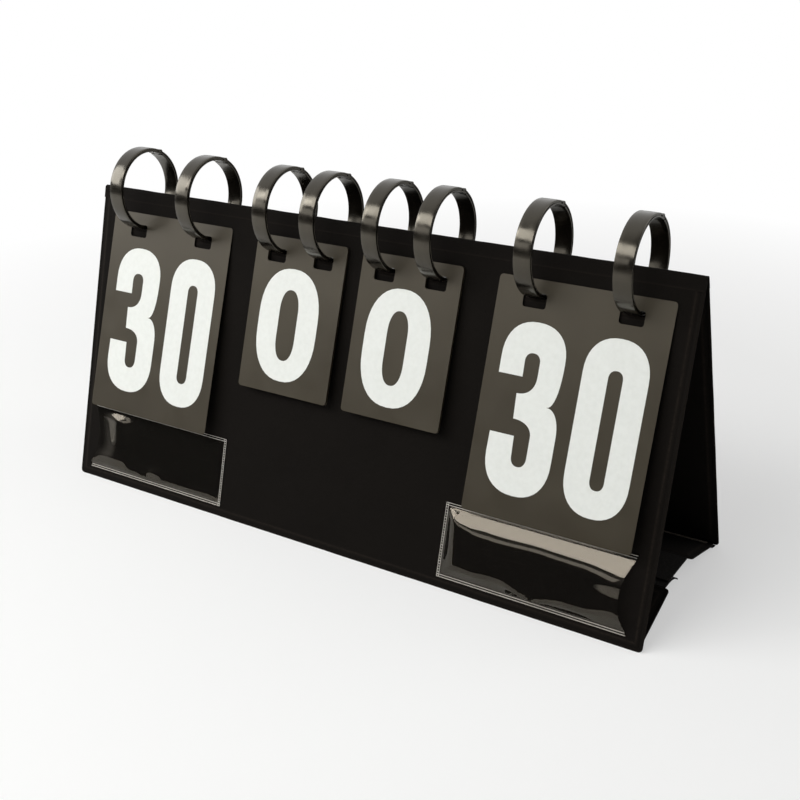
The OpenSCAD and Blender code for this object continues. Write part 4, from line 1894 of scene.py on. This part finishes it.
@dataclass(frozen=True)
class Softbox:
    """A soft rectangular lamp: its place and aim in metres, its size and how bright its face is."""

    name: str
    at: Point
    aim: Point
    size: Pair
    bright: float

    def hang(self) -> None:
        """Puts the lamp in the scene, with the power that gives its face that brightness."""
        data = bpy.data.lights.new(self.name, "AREA")
        data.shape = "RECTANGLE"
        data.size, data.size_y = self.size
        data.energy = self.bright * math.pi * self.size[0] * self.size[1]
        lamp = bpy.data.objects.new(self.name, data)
        lamp.location = self.at
        lamp.rotation_euler = (Vector(self.aim) - Vector(self.at)).to_track_quat("-Z", "Y").to_euler()
        bpy.context.collection.objects.link(lamp)


@dataclass
class Studio:
    """The floor, the soft lamps, the backdrop and the camera at the photograph's angle."""

    low_sky: float = 0.04
    high_sky: float = 0.42
    behind: Point = (-0.55, 0.83, 0.1)  # from the object to the backdrop
    floor_rings: tuple[float, ...] = (60.0, 200.0, 500.0, 1200.0, 4000.0, 16000.0)
    floor_sides: int = 64
    floor_z: float = -0.02
    lens: float = 52.879
    sensor: float = 36.0
    lamps: tuple[Softbox, ...] = (
        Softbox("key_softbox", (-1.42, -0.78, 1.0), (0, 0, 0.1), (0.8, 0.9), 6.0),
        Softbox("top_softbox", (-0.38, -0.94, 1.1), (0, 0, 0.1), (1.2, 0.5), 6.0),
        Softbox("strip_softbox", (-0.86, -1.36, 0.72), (0, 0, 0.1), (1.1, 0.36), 1.8),
        Softbox("fill_softbox", (1.3, 0.9, 0.8), (0, 0, 0.1), (0.9, 0.9), 1.6),
    )

    def build(self, finishes: Finishes) -> None:
        """Sets up the studio.

        Args:
            finishes: the materials.
        """
        self.floor(finishes)
        for lamp in self.lamps:
            lamp.hang()
        self.backdrop()
        self.camera()
        bpy.context.scene.view_settings.view_transform = "Standard"

    def floor(self, finishes: Finishes) -> None:
        """Lays the paper sweep, a disc that reaches past the camera's horizon.

        Args:
            finishes: the materials.
        """
        shape = Shape("floor_sweep")
        turns = [math.tau * k / self.floor_sides for k in range(self.floor_sides)]
        rows = []
        for r in self.floor_rings:
            rows.append([shape.add((r * math.cos(t), r * math.sin(t), self.floor_z)) for t in turns])
        shape.skin(rows, closed=True)
        shape.face(*rows[0])
        shape.make(finishes.paper)

    def backdrop(self) -> None:
        """Makes the white backdrop, and the dim room before it that grows lighter overhead.

        The camera sees white all round. Mirrored and refracted light finds the backdrop white
        where it hangs, behind the object, and the room elsewhere.
        """
        world = bpy.data.worlds.new("studio_backdrop")
        bpy.context.scene.world = world
        world.use_nodes = True
        tree = world.node_tree
        tree.nodes.clear()
        path = add_node(tree, "ShaderNodeLightPath").outputs
        toward = add_node(tree, "ShaderNodeTexCoord").outputs["Generated"]
        hung = add_node(
            tree, "ShaderNodeVectorMath", {0: toward, 1: self.behind}, operation="DOT_PRODUCT"
        )
        behind = add_node(tree, SPAN, {"Value": hung.outputs["Value"], "From Min": -0.15, "From Max": 0.25})
        rays = {0: path["Is Glossy Ray"], 1: path["Is Transmission Ray"]}
        mirrored = add_node(tree, MATH, rays, operation="MAXIMUM")
        direct = add_node(tree, MATH, {0: path["Diffuse Depth"], 1: 0.5}, operation="LESS_THAN")
        shown = add_node(tree, MATH, {0: mirrored, 1: direct}, operation="MULTIPLY")
        found = add_node(tree, MATH, {0: shown, 1: behind}, operation="MULTIPLY")
        seen = add_node(tree, MATH, {0: found, 1: path["Is Camera Ray"]}, operation="MAXIMUM")
        up = add_node(tree, "ShaderNodeSeparateXYZ", {0: toward}).outputs[2]
        glow = {"To Min": self.low_sky, "To Max": self.high_sky}
        sky = add_node(tree, SPAN, {"Value": up, "From Min": 0.15, **glow})
        room = add_node(tree, "ShaderNodeBackground", {"Color": (1, 1, 1, 1), "Strength": sky})
        white = add_node(tree, "ShaderNodeBackground", {"Color": (1, 1, 1, 1), "Strength": 1.0})
        mix = add_node(tree, "ShaderNodeMixShader", {0: seen, 1: room, 2: white})
        add_node(tree, "ShaderNodeOutputWorld", {0: mix})

    def camera(self) -> None:
        """Places the camera."""
        data = bpy.data.cameras.new("photo_camera")
        data.lens = self.lens
        data.sensor_width = self.sensor
        view = bpy.data.objects.new("photo_camera", data)
        right = (0.84295165, 0.53691272, -0.03401831)
        up = (-0.20072905, 0.37255021, 0.90604315)
        back = (0.49913962, -0.75692211, 0.42181579)
        at = (0.385709, -0.551918, 0.389274)
        view.matrix_world = Matrix([(right[i], up[i], back[i], at[i]) for i in range(3)] + [(0, 0, 0, 1)])
        bpy.context.collection.objects.link(view)
        bpy.context.scene.camera = view


def main() -> None:
    """Builds and dresses the scoreboard, piece by piece."""
    logging.basicConfig(level=logging.INFO, format="%(name)s: %(message)s")
    finishes = Finishes()
    FrameCloth().build(finishes)
    BaseFlaps().build(finishes)
    for pocket in POCKETS:
        pocket.build(finishes)
    for number, x in enumerate(STAND.ring_x, 1):
        SnapRing(number, x).build(finishes)
    CardSets().build(finishes)
    for node in ("front_board", "rear_board", "front_base_board", "rear_base_board"):
        dress(node, finishes.board)
    Studio().build(finishes)


if __name__ == "__main__":
    main()
